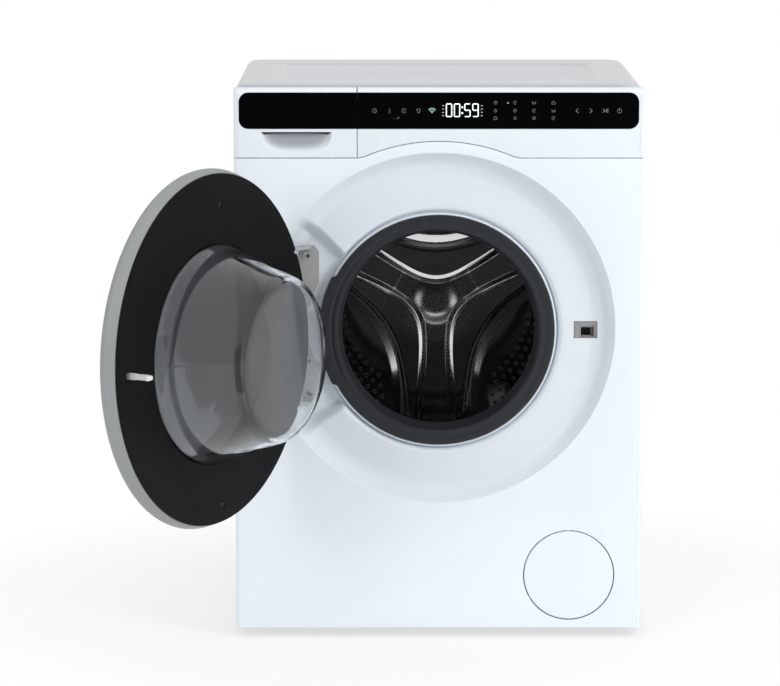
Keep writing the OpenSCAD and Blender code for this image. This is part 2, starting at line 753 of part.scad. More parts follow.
// Pressed rear wall of the drum
module drum_rear_wall() {
    color("dimgray") turned(drum_z, [[0, drum_rear_d - 3], [27, drum_rear_d - 3], [75, drum_rear_d - 7],
        [150, drum_rear_d - 7], [165, drum_rear_d - 4], [drum_r, drum_rear_d - 4], [drum_r, drum_rear_d - 2],
        [166, drum_rear_d - 2], [150, drum_rear_d - 5], [75, drum_rear_d - 5], [36, drum_rear_d],
        [0, drum_rear_d]]);
}
lifter_h = 46;
// Three hollow plastic lifters inside the drum
module drum_lifters() {
    color("gray") for (a = [30, 150, 270]) translate([0, front_y, drum_z]) rotate([0, a, 0]) difference() {
        intersection() {
            translate([0, drum_rear_d - 20, 0]) rotate([90, 0, 0])
                cylinder(r = drum_r - drum_t - 0.2, h = drum_rear_d - drum_front_d - 40);
            translate([0, drum_rear_d - 20, drum_r - lifter_h]) rotate([90, 0, 0])
                linear_extrude(drum_rear_d - drum_front_d - 40)
                polygon([[-12, 0], [12, 0], [26, lifter_h + 5], [-26, lifter_h + 5]]);
        }
        translate([0, drum_rear_d - 23, drum_r - lifter_h + 3]) rotate([90, 0, 0])
            linear_extrude(drum_rear_d - drum_front_d - 46)
            polygon([[-10, 0], [10, 0], [23, lifter_h + 5], [-23, lifter_h + 5]]);
    }
}
rear_shaft_r = 10;
pulley_d = boss_d + 5;
pulley_w = 12;
// Cast spider and shaft behind the drum
module drum_spider() {
    color("silver") {
        bar_y(0, drum_z, 36, drum_rear_d, drum_rear_d + 14);
        for (a = [60:120:300]) translate([0, front_y, drum_z]) rotate([0, a, 0])
            translate([-14, drum_rear_d, 0]) cube([28, 13, drum_r - 20]);
        for (a = [60:120:300]) translate([0, front_y, drum_z]) rotate([0, a, 0])
            translate([-14, drum_rear_d - 2, drum_r - 38]) cube([28, 8, 30]);
        bar_y(0, drum_z, shaft_r, drum_rear_d + 13, rear_bearing_d - 1);
        bar_y(0, drum_z, rear_shaft_r, rear_bearing_d - 2, pulley_d + pulley_w);
    }
}
// Lip seal in front of the bearings
module shaft_seal() {
    color("black") ring_y(0, drum_z, shaft_r + run_fit, front_bearing_r, tub_rear_d, tub_rear_d + seal_w);
}
// Front and rear ball bearings, in the tub's boss
module bearings() {
    color("silver") {
        ring_y(0, drum_z, shaft_r + run_fit, front_bearing_r, front_bearing_d, front_bearing_d + bearing_w);
        ring_y(0, drum_z, rear_shaft_r + run_fit, rear_bearing_r, rear_bearing_d, boss_d);
    }
}
// Spoked drum pulley with its centre bolt
module drum_pulley() {
    d1 = pulley_d + pulley_w;
    color("lightgray") union() {
        ring_y(0, drum_z, pulley_r - 8, pulley_r, pulley_d, d1);
        difference() {
            bar_y(0, drum_z, 22, pulley_d, d1 + 2);
            bar_y(0, drum_z, rear_shaft_r, pulley_d - eps, d1);
        }
        for (a = [0:60:300]) translate([0, front_y, drum_z]) rotate([0, a, 0])
            translate([-5, pulley_d + 2, 20]) cube([10, 8, pulley_r - 25]);
        bar_y(0, drum_z, 9, d1 + 2, d1 + 7);
    }
}
belt_t = 4;
motor_place = [motor_x, motor_z - drum_z];
// Loop round both pulleys, grown by a distance
module belt_loop(grow) {
    hull() {
        circle(pulley_r + grow);
        translate(motor_place) circle(motor_pulley_r + grow);
    }
}
// Ribbed belt round both pulleys
module drive_belt() {
    color("black") plate_y(pulley_d + 2, pulley_d + pulley_w - 2) translate([0, drum_z]) difference() {
        belt_loop(gap + belt_t);
        belt_loop(gap);
    }
}
motor_len = 104;
motor_gap = 33;
motor_d1 = pulley_d - motor_gap;
motor_d0 = motor_d1 - motor_len;
motor_lug_d0 = motor_d0 + 10;
motor_lug_d1 = motor_d1 - 18;
// Drive motor, hung between the tub's lugs
module motor() {
    color("dimgray") difference() {
        union() {
            bar_y(motor_x, motor_z, motor_r, motor_d0, motor_d1);
            for (s = [-1, 1]) span(
                [motor_x + s * (lug_x - 2) - 8, front_y + motor_lug_d0 + 8, motor_z - 10],
                [motor_x + s * (lug_x - 2) + 8, front_y + motor_lug_d1, motor_z + 10]);
        }
        for (s = [-1, 1]) for (d = [motor_lug_d0 - 0.5, motor_lug_d1 - 0.5])
            span([motor_x + s * lug_x - 9, front_y + d, motor_z - 12],
                 [motor_x + s * lug_x + 9, front_y + d + 9, motor_z + 80]);
        bar_y(motor_x, motor_z, 6.05, motor_d0 + 20, motor_d1 + 1);
    }
}
// Motor shaft with its pulley
module motor_pulley() {
    color("silver") {
        bar_y(motor_x, motor_z, 6, motor_d0 + 21, pulley_d + 1);
        bar_y(motor_x, motor_z, motor_pulley_r, pulley_d, pulley_d + pulley_w + 2);
    }
}

// Suspension and weights

// Two springs that hang the tub from the side panels
module suspension_springs() {
    color("silver") for (s = [-1, 1]) translate([s * spring_x, front_y + spring_d, 0])
        rotate_extrude() polygon(concat([[5, spring_z0], [7, spring_z0 - spring_wire]],
            [for (i = [0:24]) [i % 2 == 0 ? 9.6 : 8, spring_z0 + 5 * i]],
            [[7, spring_z1 + spring_wire], [5, spring_z1]]));
}
// Two friction dampers between the tub and the base
module dampers() {
    color("gray") for (s = [-1, 1]) translate([s * damper_x, front_y + damper_d, foot_gap + tray_wall]) {
        cylinder(r = 13, h = 90);
        cylinder(r = 6, h = damper_top - foot_gap - tray_wall);
        translate([-17, -17, 0]) cube([34, 34, 10]);
    }
}
// Concrete weights: two round the tub's neck and one on top of the tub
module counterweights() {
    color("darkgray") difference() {
        bar_y(0, drum_z, tub_r - 26, tub_front_d - 12, tub_front_d);
        bar_y(0, drum_z, neck_r + 12.5, tub_front_d - 20, tub_front_d + eps);
        span([-260, front_y + 20, drum_z - 90], [0, front_y + 80, drum_z + 90]);
        span([100, front_y + 20, drum_z - 40], [260, front_y + 80, drum_z + 40]);
    }
    color("darkgray") difference() {
        span([-70, front_y + tub_split_d + 20, drum_z + tub_r - 51],
             [170, front_y + tub_rear_d - 8, drum_z + tub_r + 39]);
        bar_y(0, drum_z, tub_r + gap, tub_split_d, tub_rear_d);
    }
}
// Rubber hose from the inlet valve to the drawer housing
module inlet_hose() {
    color("gray") ring_y(valve_x, valve_z, valve_nozzle_r + 0.1, valve_nozzle_r + 2.5,
        housing_d1, body_d - rear_inset - valve_box_d - 3);
}
// Heating element in the sump, under the drum
module heater() {
    color("silver") {
        for (x = [-heater_x, heater_x]) bar_y(x, heater_z, heater_r, 100, tub_rear_d + 1);
        span([-heater_x, front_y + 97, heater_z - 3], [heater_x, front_y + 103, heater_z + 3]);
        span([-heater_x - 8.5, front_y + tub_rear_d, heater_z - 6.5],
             [heater_x + 8.5, front_y + tub_rear_d + 13, heater_z + 6.5]);
    }
}

// Pump

pump_r = 34;
pump_bore_r = 27;
pump_split_d = 110;
impeller_r = 20;
// Drain pump: filter housing, volute and motor in one casting
module drain_pump() {
    color("dimgray") difference() {
        union() {
            bar_y(hatch_x, hatch_z, pump_r, 22, pump_split_d + 25);
            bar_y(hatch_x, hatch_z, 24, pump_split_d + 24, 190);
            span([hatch_x - 20, front_y + 60, foot_gap + tray_wall],
                 [hatch_x + 6, front_y + 90, hatch_z - 20]);
            translate([hatch_x, front_y + pump_split_d + 12, hatch_z])
                rotate([0, 90, 0]) cylinder(r = 9, h = 38);
            translate([sump_x - 13, front_y + sump_d, hatch_z + 8])
                rotate([0, 90, 0]) cylinder(r = sump_hose_r, h = 50);
            translate([sump_x, front_y + sump_d, hatch_z + 8])
                cylinder(r = sump_hose_r, h = sump_top - hatch_z - 8);
        }
        bar_y(hatch_x, hatch_z, pump_bore_r, 21, pump_split_d - 4);
        bar_y(hatch_x, hatch_z, impeller_r + 3, pump_split_d - 5, pump_split_d + 14);
        bar_y(hatch_x, hatch_z, 2.55, pump_split_d + 13, 160);
        translate([sump_x, front_y + sump_d, sump_top - 18]) cylinder(r = sump_nozzle_r + 0.1, h = 20);
    }
}
// Pump impeller on its shaft
module pump_impeller() {
    color("white") {
        bar_y(hatch_x, hatch_z, 2.5, pump_split_d + 2, 158);
        bar_y(hatch_x, hatch_z, 6, pump_split_d, pump_split_d + 12);
        for (a = [0:60:300]) translate([hatch_x, front_y + pump_split_d + 2, hatch_z]) rotate([0, a, 0])
            translate([-1, 0, 0]) cube([2, 9, impeller_r]);
    }
}
// Screw-in lint filter with its grip
module pump_filter() {
    color("gray") difference() {
        union() {
            bar_y(hatch_x, hatch_z, pump_bore_r + 2, 18, 21.7);
            bar_y(hatch_x, hatch_z, pump_bore_r - 1, 21, 100);
            span([hatch_x - 22, front_y + 13.5, hatch_z - 3], [hatch_x + 22, front_y + 18.5, hatch_z + 3]);
        }
        bar_y(hatch_x, hatch_z, pump_bore_r - 3, 30, pump_split_d - 9);
    }
}
// Hose from the pump up to the rear outlet
module drain_hose() {
    z0 = hatch_z;
    y0 = front_y + pump_split_d + 12;
    y1 = rear_y - hose_r - 30;
    color("gray") {
        translate([hatch_x + 38.3, y0, z0]) rotate([0, 90, 0])
            cylinder(r = hose_r, h = drain_x - hatch_x - 38.3);
        translate([drain_x, y0, z0]) sphere(hose_r);
        translate([drain_x, y0, z0]) rotate([-90, 0, 0]) cylinder(r = hose_r, h = y1 - y0);
        translate([drain_x, y1, z0]) sphere(hose_r);
        translate([drain_x, y1, z0]) cylinder(r = hose_r, h = drain_z - z0);
        translate([drain_x, y1, drain_z]) sphere(hose_r);
        translate([drain_x, y1, drain_z]) rotate([-90, 0, 0]) cylinder(r = hose_r, h = body_d / 2 - y1);
        bar_y(drain_x, drain_z, hose_cuff_r, body_d - rear_inset - 8, body_d - rear_inset + 0.5);
    }
}

// Door, modelled closed and then swung open about its hinge

module swung_open() {
    translate([-hinge_x, hinge_y, 0]) rotate([0, 0, -door_angle])
        translate([hinge_x, -hinge_y, 0]) children();
}
// Shifts a profile measured from the hinge axis to depths from the front face
function from_hinge(pts) = [for (p = pts) [p.x, p.y - hinge_out]];
ear_z = 99;
ear_t = 4;
ear_r = 5.5;
ear_plan = [[-5.3, 0], [-2.5, 16], [5.3, 27], [12.3, 36], [21.3, 42], [29.3, 45], [29.3, 36], [17.3, 24],
    [5.4, 16.2], [5.4, 0]];
plate_x0 = -178;
plate_x1 = -150;
// Steel bracket on the pocket floor, with an ear at each end for the hinge pin
module hinge_bracket() {
    d1 = pocket_d;
    color("silver") difference() {
        union() {
            plate_y(d1 - 3, d1) translate([0, door_z]) polygon([[plate_x0, 80], [plate_x0 + 12, ear_z + 2],
                [plate_x1 - 6, ear_z + 2], [plate_x1, ear_z - 6], [plate_x1, 55], [plate_x1 - 16, 20],
                [plate_x1 - 16, -20], [plate_x1, -55], [plate_x1, -ear_z + 6], [plate_x1 - 6, -ear_z - 2],
                [plate_x0 + 12, -ear_z - 2], [plate_x0, -80]]);
            for (s = [-1, 1]) translate([0, 0, door_z + s * ear_z - ear_t / 2]) {
                translate([-hinge_x, hinge_y, 0]) cylinder(r = ear_r, h = ear_t);
                translate([-hinge_x, hinge_y, 0]) linear_extrude(ear_t) polygon(ear_plan);
            }
            for (z = [45, 88]) for (s = [-1, 1]) bar_y(plate_x1 - 14, door_z + s * z, 6, d1 - 6, d1 - 2);
        }
        translate([-hinge_x, hinge_y, door_z - 120]) cylinder(r = hinge_pin_r + run_fit, h = 240);
    }
}
// Steel pin through the ears and the door's knuckle
module hinge_pin() {
    color("silver") translate([-hinge_x, hinge_y, door_z - ear_z - ear_t / 2])
        cylinder(r = hinge_pin_r, h = 2 * ear_z + ear_t);
}
// Hinge arm inside the door: a knuckle on the pin and a plate behind the door frame
module hinge_arm() {
    color("silver") swung_open() difference() {
        union() {
            translate([-hinge_x, hinge_y, door_z - 80]) cylinder(r = 5.5, h = 160);
            span([-hinge_x, hinge_y + 2.5, door_z - 78], [-hinge_x + 41, hinge_y + 5.5, door_z + 78]);
            for (z = [-65, 65])
                bar_y(-hinge_x + 22, door_z + z, 7, 5 - hinge_out, door_back - door_wall - hinge_out);
        }
        translate([-hinge_x, hinge_y, door_z - 90]) cylinder(r = hinge_pin_r + run_fit, h = 180);
    }
}
hook_x = 182;
hook_h = 7.6;
hook_z = lock_slot_z0 + 0.5 + hook_h / 2;
hook_pin_r = 1.5;
hook_pin_b = 8;
// Slots in the door's edge that the bracket's ears pass through
module ear_slots() {
    for (s = [-1, 1]) translate([0, 0, door_z + s * ear_z - ear_t / 2 - 0.6])
        span([-door_r - 10, hinge_y - ear_r - 1.8, 0], [-hinge_x + ear_r + 0.8, hinge_y + 30, ear_t + 1.2]);
}
cover_r = door_r - 9.2;
// Dark outer cover of the door
module door_cover() {
    color("black") swung_open() turned(door_z, from_hinge([[0, -13.5], [120, -12.5], [190, -9.6],
        [cover_r, -8], [cover_r, -5], [190, -6.6], [120, -9.5], [0, -10.5]]));
}
// Silver ring round the door's edge
module door_ring() {
    r = door_r;
    e = door_back - door_wall;
    color("silver") swung_open() difference() {
        turned(door_z, from_hinge([[r - 9, -9], [r - 3.5, -7.5], [r - 0.7, -4], [r, 0],
            [door_inner_r + 0.5, e], [door_inner_r - 2.5, e], [r - 3, 0], [r - 4, -3], [r - 9, -6]]));
        ear_slots();
        translate([-hinge_x, hinge_y, door_z - ear_z]) cylinder(r = hinge_pin_r + gap, h = 2 * ear_z);
    }
}
// Black inner frame of the door with the opening for the glass
module door_frame() {
    e = door_back - door_wall;
    color("dimgray") swung_open() difference() {
        union() {
            turned(door_z, from_hinge([[0, e], [door_inner_r, e],
                [door_inner_r, door_back], [0, door_back]]));
            bar_y(0, drum_z, bowl_r + 10, e - 4 - hinge_out, e + eps - hinge_out);
            for (s = [-1, 1]) translate([0, 0, hook_z + s * (hook_h / 2 + 3.3) - 3])
                span([hook_x - 4, hinge_y + 4, 0], [hook_x + 8, hinge_y + e + eps, 6]);
        }
        bar_y(0, drum_z, bowl_r + gap, -hinge_out - 5, 30);
        bar_y(0, drum_z, bowl_r + 6.3, -hinge_out - 5, e - hinge_out);
        span([hook_x - 5, hinge_y + e, hook_z - hook_h / 2 - 1],
             [hook_x + 10, hinge_y + 30, hook_z + hook_h / 2 + 1]);
        ear_slots();
    }
    color("dimgray") swung_open() translate([hook_x + 2, hinge_y + hook_pin_b, hook_z - hook_h / 2 - 2])
        cylinder(r = hook_pin_r, h = hook_h + 4);
}
// Clear glass bowl of the door
module door_glass() {
    b = bowl_r;
    t = glass_t;
    l = bowl_depth;
    e = door_back - door_wall;
    color("lightblue") swung_open() turned(drum_z, from_hinge([[b + 6, e - 3], [b + 6, e], [b, e], [b, 22],
        [b - 3, 25.5], [seal_lip_r - 1.2, 29], [seal_lip_r - 1.8, 38], [119.5, 56], [110.6, 80],
        [102.5, l - 14], [98, l - 6], [90, l - 1.5], [60, l], [0, l], [0, l - t], [60, l - t],
        [88.5, l - t - 1], [94.5, l - 8.5], [98.6, l - 15], [106.6, 79], [115.5, 55],
        [seal_lip_r - 5.8, 37.5], [seal_lip_r - 5.2, 31.5],
        [b - 6, 28], [b - 4, 22], [b - 4, e - 3]]));
}
// Latch hook that swings on a pin inside the door
module door_latch() {
    z0 = hook_z - hook_h / 2;
    color("lightgray") swung_open() difference() {
        union() {
            translate([0, 0, z0]) linear_extrude(hook_h) polygon([[hook_x, hinge_y + hook_pin_b],
                [hook_x + 4, hinge_y + hook_pin_b], [hook_x + 4, hinge_y + 40], [hook_x + 8, hinge_y + 40],
                [hook_x + 8, hinge_y + 41], [hook_x + 4.5, hinge_y + 45], [hook_x, hinge_y + 45]]);
            translate([hook_x + 2, hinge_y + hook_pin_b, z0]) cylinder(r = 4, h = hook_h);
        }
        translate([hook_x + 2, hinge_y + hook_pin_b, z0 - 1])
            cylinder(r = hook_pin_r + run_fit, h = hook_h + 2);
        for (s = [-1, 1]) translate([hook_x - 1, hinge_y + 45, hook_z + s * (hook_h / 2 + 0.6)])
            rotate([s * 25, 0, 0]) translate([0, -8, s < 0 ? -2 : 0]) cube([12, 14, 2]);
    }
}

side_panel_left();
side_panel_right();
rear_panel();
rear_cover();
base_tray();
front_panel();
front_crossbar();
rear_crossbar();
worktop();
transit_caps();
cord_gland();
foot_front_left();
foot_front_right();
foot_rear_left();
foot_rear_right();
foot_nuts();
control_fascia();
control_glass();
display_board();
drawer_front();
drawer_glass();
detergent_tray();
drawer_housing();
inlet_valve();
inlet_hose();
dispenser_hose();
tub_front();
tub_rear();
door_seal();
seal_clamp();
drum_shell();
drum_front_rim();
drum_rear_wall();
drum_lifters();
drum_spider();
shaft_seal();
drum_pulley();
drive_belt();
motor();
motor_pulley();
suspension_springs();
dampers();
heater();
drain_pump();
pump_impeller();
pump_filter();
drain_hose();
filter_hatch();
door_lock();
lock_slider();
hinge_bracket();
hinge_pin();
hinge_arm();
door_cover();
door_ring();
door_frame();
door_glass();
door_latch();
bearings();
counterweights();
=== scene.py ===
"""Compact front-loading washing machine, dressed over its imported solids. Metres, x right, y back, z up."""
import math

import bmesh
import bpy
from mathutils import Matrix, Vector


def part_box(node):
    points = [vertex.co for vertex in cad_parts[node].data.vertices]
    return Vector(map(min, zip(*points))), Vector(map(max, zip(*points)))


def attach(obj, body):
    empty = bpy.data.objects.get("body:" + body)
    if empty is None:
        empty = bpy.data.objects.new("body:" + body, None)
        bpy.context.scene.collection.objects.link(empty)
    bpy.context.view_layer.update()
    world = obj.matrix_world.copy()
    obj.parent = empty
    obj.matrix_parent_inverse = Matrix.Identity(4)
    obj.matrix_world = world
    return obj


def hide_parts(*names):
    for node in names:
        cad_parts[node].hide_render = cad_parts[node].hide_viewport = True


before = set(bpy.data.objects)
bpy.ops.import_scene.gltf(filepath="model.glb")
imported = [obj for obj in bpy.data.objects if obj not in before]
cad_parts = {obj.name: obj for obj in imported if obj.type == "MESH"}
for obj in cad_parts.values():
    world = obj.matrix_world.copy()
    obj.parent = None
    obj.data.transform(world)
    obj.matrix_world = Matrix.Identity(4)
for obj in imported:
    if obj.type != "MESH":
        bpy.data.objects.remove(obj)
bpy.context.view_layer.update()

# Camera.
# The photograph was taken from just left of the middle, at chest height, with a long lens.
FRONT_Y = -0.23
camera_data = bpy.data.cameras.new("camera")
camera_data.sensor_width = 36.0
camera_data.lens = 178.2
camera_data.clip_end = 60.0
camera = bpy.data.objects.new("camera", camera_data)
camera.location = (-0.0609, FRONT_Y - 4.778, 1.0726)
camera.rotation_euler = (math.radians(90 - 8.3), 0, 0)
bpy.context.scene.collection.objects.link(camera)
bpy.context.scene.camera = camera

# Studio.
# A pale floor and a pale sky, broad soft lamps, and a dark card on the floor in front, outside the
# picture, that the drum's steel mirrors.
FLOOR_R = 19.0
FLOOR_SIDES = 96
CARD_ROWS = ((0.34, -1.05, 0.002), (0.7, -2.4, 0.002), (2.35, -7.5, 0.002), (2.35, -7.5, 3.2))
bpy.context.scene.view_settings.view_transform = "Standard"


def node_tree(material):
    """A material's or world's empty node tree."""
    material.use_nodes = True
    material.node_tree.nodes.clear()
    return material.node_tree


def add(tree, kind, sockets=(), **settings):
    """New node with its settings. Each socket gets a value, or a link from another node's socket."""
    made = tree.nodes.new("ShaderNode" + kind)
    for key, value in settings.items():
        setattr(made, key, value)
    for key, value in dict(sockets).items():
        if isinstance(value, bpy.types.NodeSocket):
            tree.links.new(value, made.inputs[key])
        else:
            made.inputs[key].default_value = value
    return made


def seen_or_mirrored(tree):
    """Socket that is 1 for camera, glossy and transmission rays, so mirrors show the backdrop too."""
    path = add(tree, "LightPath")
    socket = path.outputs["Is Camera Ray"]
    for ray in ("Is Glossy Ray", "Is Transmission Ray"):
        socket = add(tree, "Math", {0: socket, 1: path.outputs[ray]}, operation="MAXIMUM").outputs["Value"]
    return socket


def stage_object(name, verts, faces, material_name):
    """Object of the studio, and the empty node tree of its material."""
    mesh = bpy.data.meshes.new(name)
    mesh.from_pydata(verts, [], faces)
    made = bpy.data.objects.new(name, mesh)
    bpy.context.scene.collection.objects.link(made)
    mesh.materials.append(bpy.data.materials.new(material_name))
    return made, node_tree(mesh.materials[0])


def studio_floor():
    """Floor disc whose rim lies far outside the picture."""
    rim = [(FLOOR_R * math.cos(a), FLOOR_R * math.sin(a), 0)
           for a in (math.tau * i / FLOOR_SIDES for i in range(FLOOR_SIDES))]
    tree = stage_object("studio_floor", rim, [tuple(range(FLOOR_SIDES))], "floor_paper")[1]
    paint = add(tree, "BsdfDiffuse", {"Color": (0.93, 0.93, 0.93, 1)})
    glow = add(tree, "Emission", {"Strength": 1.0})
    # The floor turns to plain white away from the machine, and keeps the shadow near it.
    reach = add(tree, "VectorMath", {0: add(tree, "TexCoord").outputs["Object"]}, operation="LENGTH")
    fade = add(tree, "MapRange", {"Value": reach.outputs["Value"], "From Min": 0.34, "From Max": 0.75,
                                  "To Min": 0.68})
    gate = add(tree, "Math", {0: fade.outputs["Result"], 1: seen_or_mirrored(tree)}, operation="MULTIPLY")
    far = add(tree, "MixShader", {"Fac": gate.outputs["Value"], 1: paint.outputs["BSDF"],
                                  2: glow.outputs["Emission"]})
    add(tree, "OutputMaterial", {"Surface": far.outputs["Shader"]})


def studio_sky():
    """World that lights softly and shows as white behind the machine."""
    bpy.context.scene.world = bpy.data.worlds.new("studio_sky")
    tree = node_tree(bpy.context.scene.world)
    soft = add(tree, "Background", {"Color": (0.93, 0.96, 1.0, 1), "Strength": 0.53})
    plain = add(tree, "Background", {"Strength": 1.0})
    mix = add(tree, "MixShader", {"Fac": seen_or_mirrored(tree), 1: soft.outputs["Background"],
                                  2: plain.outputs["Background"]})
    add(tree, "OutputWorld", {"Surface": mix.outputs["Shader"]})


def studio_card():
    """Dark card on the floor in front of the machine, turned up behind the camera."""
    corners = [(side * x, y, z) for x, y, z in CARD_ROWS for side in (-1, 1)]
    faces = [(0, 1, 3, 2), (2, 3, 5, 4), (4, 5, 7, 6)]
    card, tree = stage_object("studio_card", corners, faces, "card_felt")
    felt = add(tree, "BsdfDiffuse", {"Color": (0.02, 0.02, 0.02, 1)})
    add(tree, "OutputMaterial", {"Surface": felt.outputs["BSDF"]})
    card.visible_camera = False
    card.visible_transmission = False
    card.visible_diffuse = False


def soft_lamp(name, place, aim, width, height, power):
    """Rectangular soft box at place, turned to aim."""
    lamp = bpy.data.lights.new(name, "AREA")
    lamp.shape = "RECTANGLE"
    lamp.size = width
    lamp.size_y = height
    lamp.energy = power
    lamp_object = bpy.data.objects.new(name, lamp)
    lamp_object.location = place
    lamp_object.rotation_euler = (Vector(aim) - Vector(place)).to_track_quat("-Z", "Y").to_euler()
    # The boxes light the machine, and only the plain studio shows in its mirrors.
    lamp_object.visible_glossy = False
    lamp_object.visible_transmission = False
    bpy.context.scene.collection.objects.link(lamp_object)


studio_floor()
studio_sky()
studio_card()
soft_lamp("lamp_front_left", (-2.1, -3.0, 1.7), (0, 0, 0.35), 1.3, 1.9, 34)
soft_lamp("lamp_front_right", (2.5, -2.4, 1.8), (0, 0, 0.35), 1.4, 1.8, 66)
soft_lamp("lamp_top", (0, -0.3, 2.9), (0, 0, 0.6), 2.0, 1.6, 8)
soft_lamp("lamp_back", (0.8, 2.8, 1.9), (0, 0, 0.35), 1.6, 1.6, 14)

# Worktop.
# A pressed board lid with a shallow field on top, moulded in pale plastic and screwed down at the
# rear. Its long edges roll over softly into the sides.
WORKTOP_HALF_W = 0.255
WORKTOP_ROLL = 0.013
WORKTOP_CORNER = 0.027
FIELD_HALF_W = 0.198
FIELD_FRONT = FRONT_Y + 0.13
FIELD_BACK = FRONT_Y + 0.369
FIELD_CORNER = 0.022
FIELD_STEP = ((0.0045, 0.0), (0.003, 0.0001), (0.0018, 0.0006), (0.0006, 0.0012), (-0.001, 0.0015))
# Colour of the painted shade in deep hollows.
DEEP_SHADE = (0.16, 0.165, 0.185, 1)


def finish(name, colour, rough, metal=0.0, grain=700.0, relief=0.02, tint=0.02, spread=0.012,
           coat=0.0, stretch=(1, 1, 1), mirror=0.5):
    """Procedural finish: a fine grain in the bump, and a broad drift in colour and gloss."""
    material = bpy.data.materials.new(name)
    tree = node_tree(material)
    where = add(tree, "TexCoord").outputs["Object"]
    laid = add(tree, "Mapping", {"Vector": where, "Scale": stretch})
    fine = add(tree, "TexNoise", {"Vector": laid.outputs["Vector"], "Scale": grain, "Detail": 3.0})
    broad = add(tree, "TexNoise", {"Vector": where, "Scale": 7.0, "Detail": 1.0}).outputs["Fac"]
    gloss = add(tree, "MapRange", {"Value": broad, "From Min": 0.3, "From Max": 0.7,
                                   "To Min": max(0.02, rough - spread), "To Max": rough + spread})
    drift = add(tree, "Mix", {"Factor": broad, "A": (*colour, 1),
                              "B": (*(c * (1 - tint) for c in colour), 1)}, data_type="RGBA")
    bump = add(tree, "Bump", {"Strength": relief, "Distance": 0.0006, "Height": fine.outputs["Fac"]})
    shader = add(tree, "BsdfPrincipled", {
        "Base Color": drift.outputs["Result"], "Roughness": gloss.outputs["Result"],
        "Normal": bump.outputs["Normal"], "Metallic": metal, "Coat Weight": coat, "Coat Roughness": 0.04,
        "Specular IOR Level": mirror})
    add(tree, "OutputMaterial", {"Surface": shader.outputs["BSDF"]})
    return material


def principled(material):
    """Main shader of a finish."""
    return next(n for n in material.node_tree.nodes if n.type == "BSDF_PRINCIPLED")


def paint_depth_shade(material, y0, y1, share):
    """Paint shade into a finish: darker from the depth y0 to the depth y1, where less light gets in."""
    tree = material.node_tree
    base = principled(material).inputs["Base Color"]
    axes = add(tree, "SeparateXYZ", {"Vector": add(tree, "TexCoord").outputs["Object"]})
    deep = add(tree, "MapRange", {"Value": axes.outputs["Y"], "From Min": y0, "From Max": y1,
                                  "To Max": share}, interpolation_type="SMOOTHSTEP")
    mix = add(tree, "Mix", {"Factor": deep.outputs["Result"], "A": base.links[0].from_socket,
                            "B": DEEP_SHADE}, data_type="RGBA")
    tree.links.new(mix.outputs["Result"], base)


def piece(name, shape, material, body, stands_for=(), sharp=32):
    """Mesh object with smooth faces and sharp edges past an angle, riding on a body."""
    mesh = bpy.data.meshes.new(name)
    mesh.from_pydata([tuple(v) for v in shape[0]], [], shape[1])
    work = bmesh.new()
    work.from_mesh(mesh)
    bmesh.ops.remove_doubles(work, verts=work.verts, dist=1e-6)
    bmesh.ops.recalc_face_normals(work, faces=work.faces)
    work.to_mesh(mesh)
    work.free()
    for face in mesh.polygons:
        face.use_smooth = True
    mesh.set_sharp_from_angle(angle=math.radians(sharp))
    mesh.materials.append(material)
    made = bpy.data.objects.new(name, mesh)
    bpy.context.scene.collection.objects.link(made)
    if stands_for:
        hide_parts(*stands_for)
    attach(made, body)
    return made


def lofted(loops):
    """Vertices and faces of a closed skin over loops that have equal point counts."""
    n, last = len(loops[0]), (len(loops) - 1) * len(loops[0])
    faces = [(a + i, a + (i + 1) % n, a + n + (i + 1) % n, a + n + i)
             for a in range(0, last, n) for i in range(n)]
    faces += [tuple(reversed(range(n))), tuple(range(last, last + n))]
    return [p for loop in loops for p in loop], faces


def round_loop(u0, u1, v0, v1, corner, steps, point):
    """Round-cornered loop of point(u, v), from the far corner on round the rectangle."""
    loop = []
    for u, v, start in ((u1 - corner, v1 - corner, 0), (u0 + corner, v1 - corner, 90),
                        (u0 + corner, v0 + corner, 180), (u1 - corner, v0 + corner, 270)):
        for i in range(steps + 1):
            a = math.radians(start + 90 * i / steps)
            loop.append(point(u + corner * math.cos(a), v + corner * math.sin(a)))
    return loop


def worktop_loop(half_w, front, back, corner, z):
    """Round-cornered loop seen from above, at height z."""
    return round_loop(-half_w, half_w, front, back, corner, 12, lambda x, y: (x, y, z))


def build_worktop():
    low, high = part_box("worktop")
    # Rolled edge: from the bottom up the side and over onto the top.
    roll = [(0.0, high.z - low.z), (0.0, WORKTOP_ROLL)]
    roll += [(WORKTOP_ROLL * (1 - math.cos(math.radians(a))), WORKTOP_ROLL * (1 - math.sin(math.radians(a))))
             for a in range(10, 91, 8)]
    # The front edge stays square because the panel's crown takes over there.
    loops = [worktop_loop(WORKTOP_HALF_W - inset, low.y + min(inset, 0.0012), high.y - inset,
                          max(WORKTOP_CORNER - inset, 0.004), high.z - drop) for inset, drop in roll]
    # Field: a soft step down to a flat floor.
    loops += [worktop_loop(FIELD_HALF_W + grow, FIELD_FRONT - grow, FIELD_BACK + grow, FIELD_CORNER + grow,
                           high.z - drop) for grow, drop in FIELD_STEP]
    enamel = finish("worktop_enamel", (0.55, 0.57, 0.585), 0.26, grain=900, relief=0.05, coat=0.25)
    piece("worktop_lid", lofted(loops), enamel, "cabinet", ("worktop",), sharp=40)


build_worktop()

# Cabinet sides.
# Each side is one folded sheet of white enamelled steel with a shallow pressed field that
# stiffens it, flanges along its front, rear and top edges, and a bracket for the tub's spring.
SIDE_X = 0.255
SIDE_SHEET = 0.0012
SIDE_PRESSING = 0.0016
SIDE_FLANGE = 0.015
SIDE_SEAM_Z = 0.6077
SPRING_BRACKET = ((0.229, 0.024, 0.5926), (0.036, 0.5976))
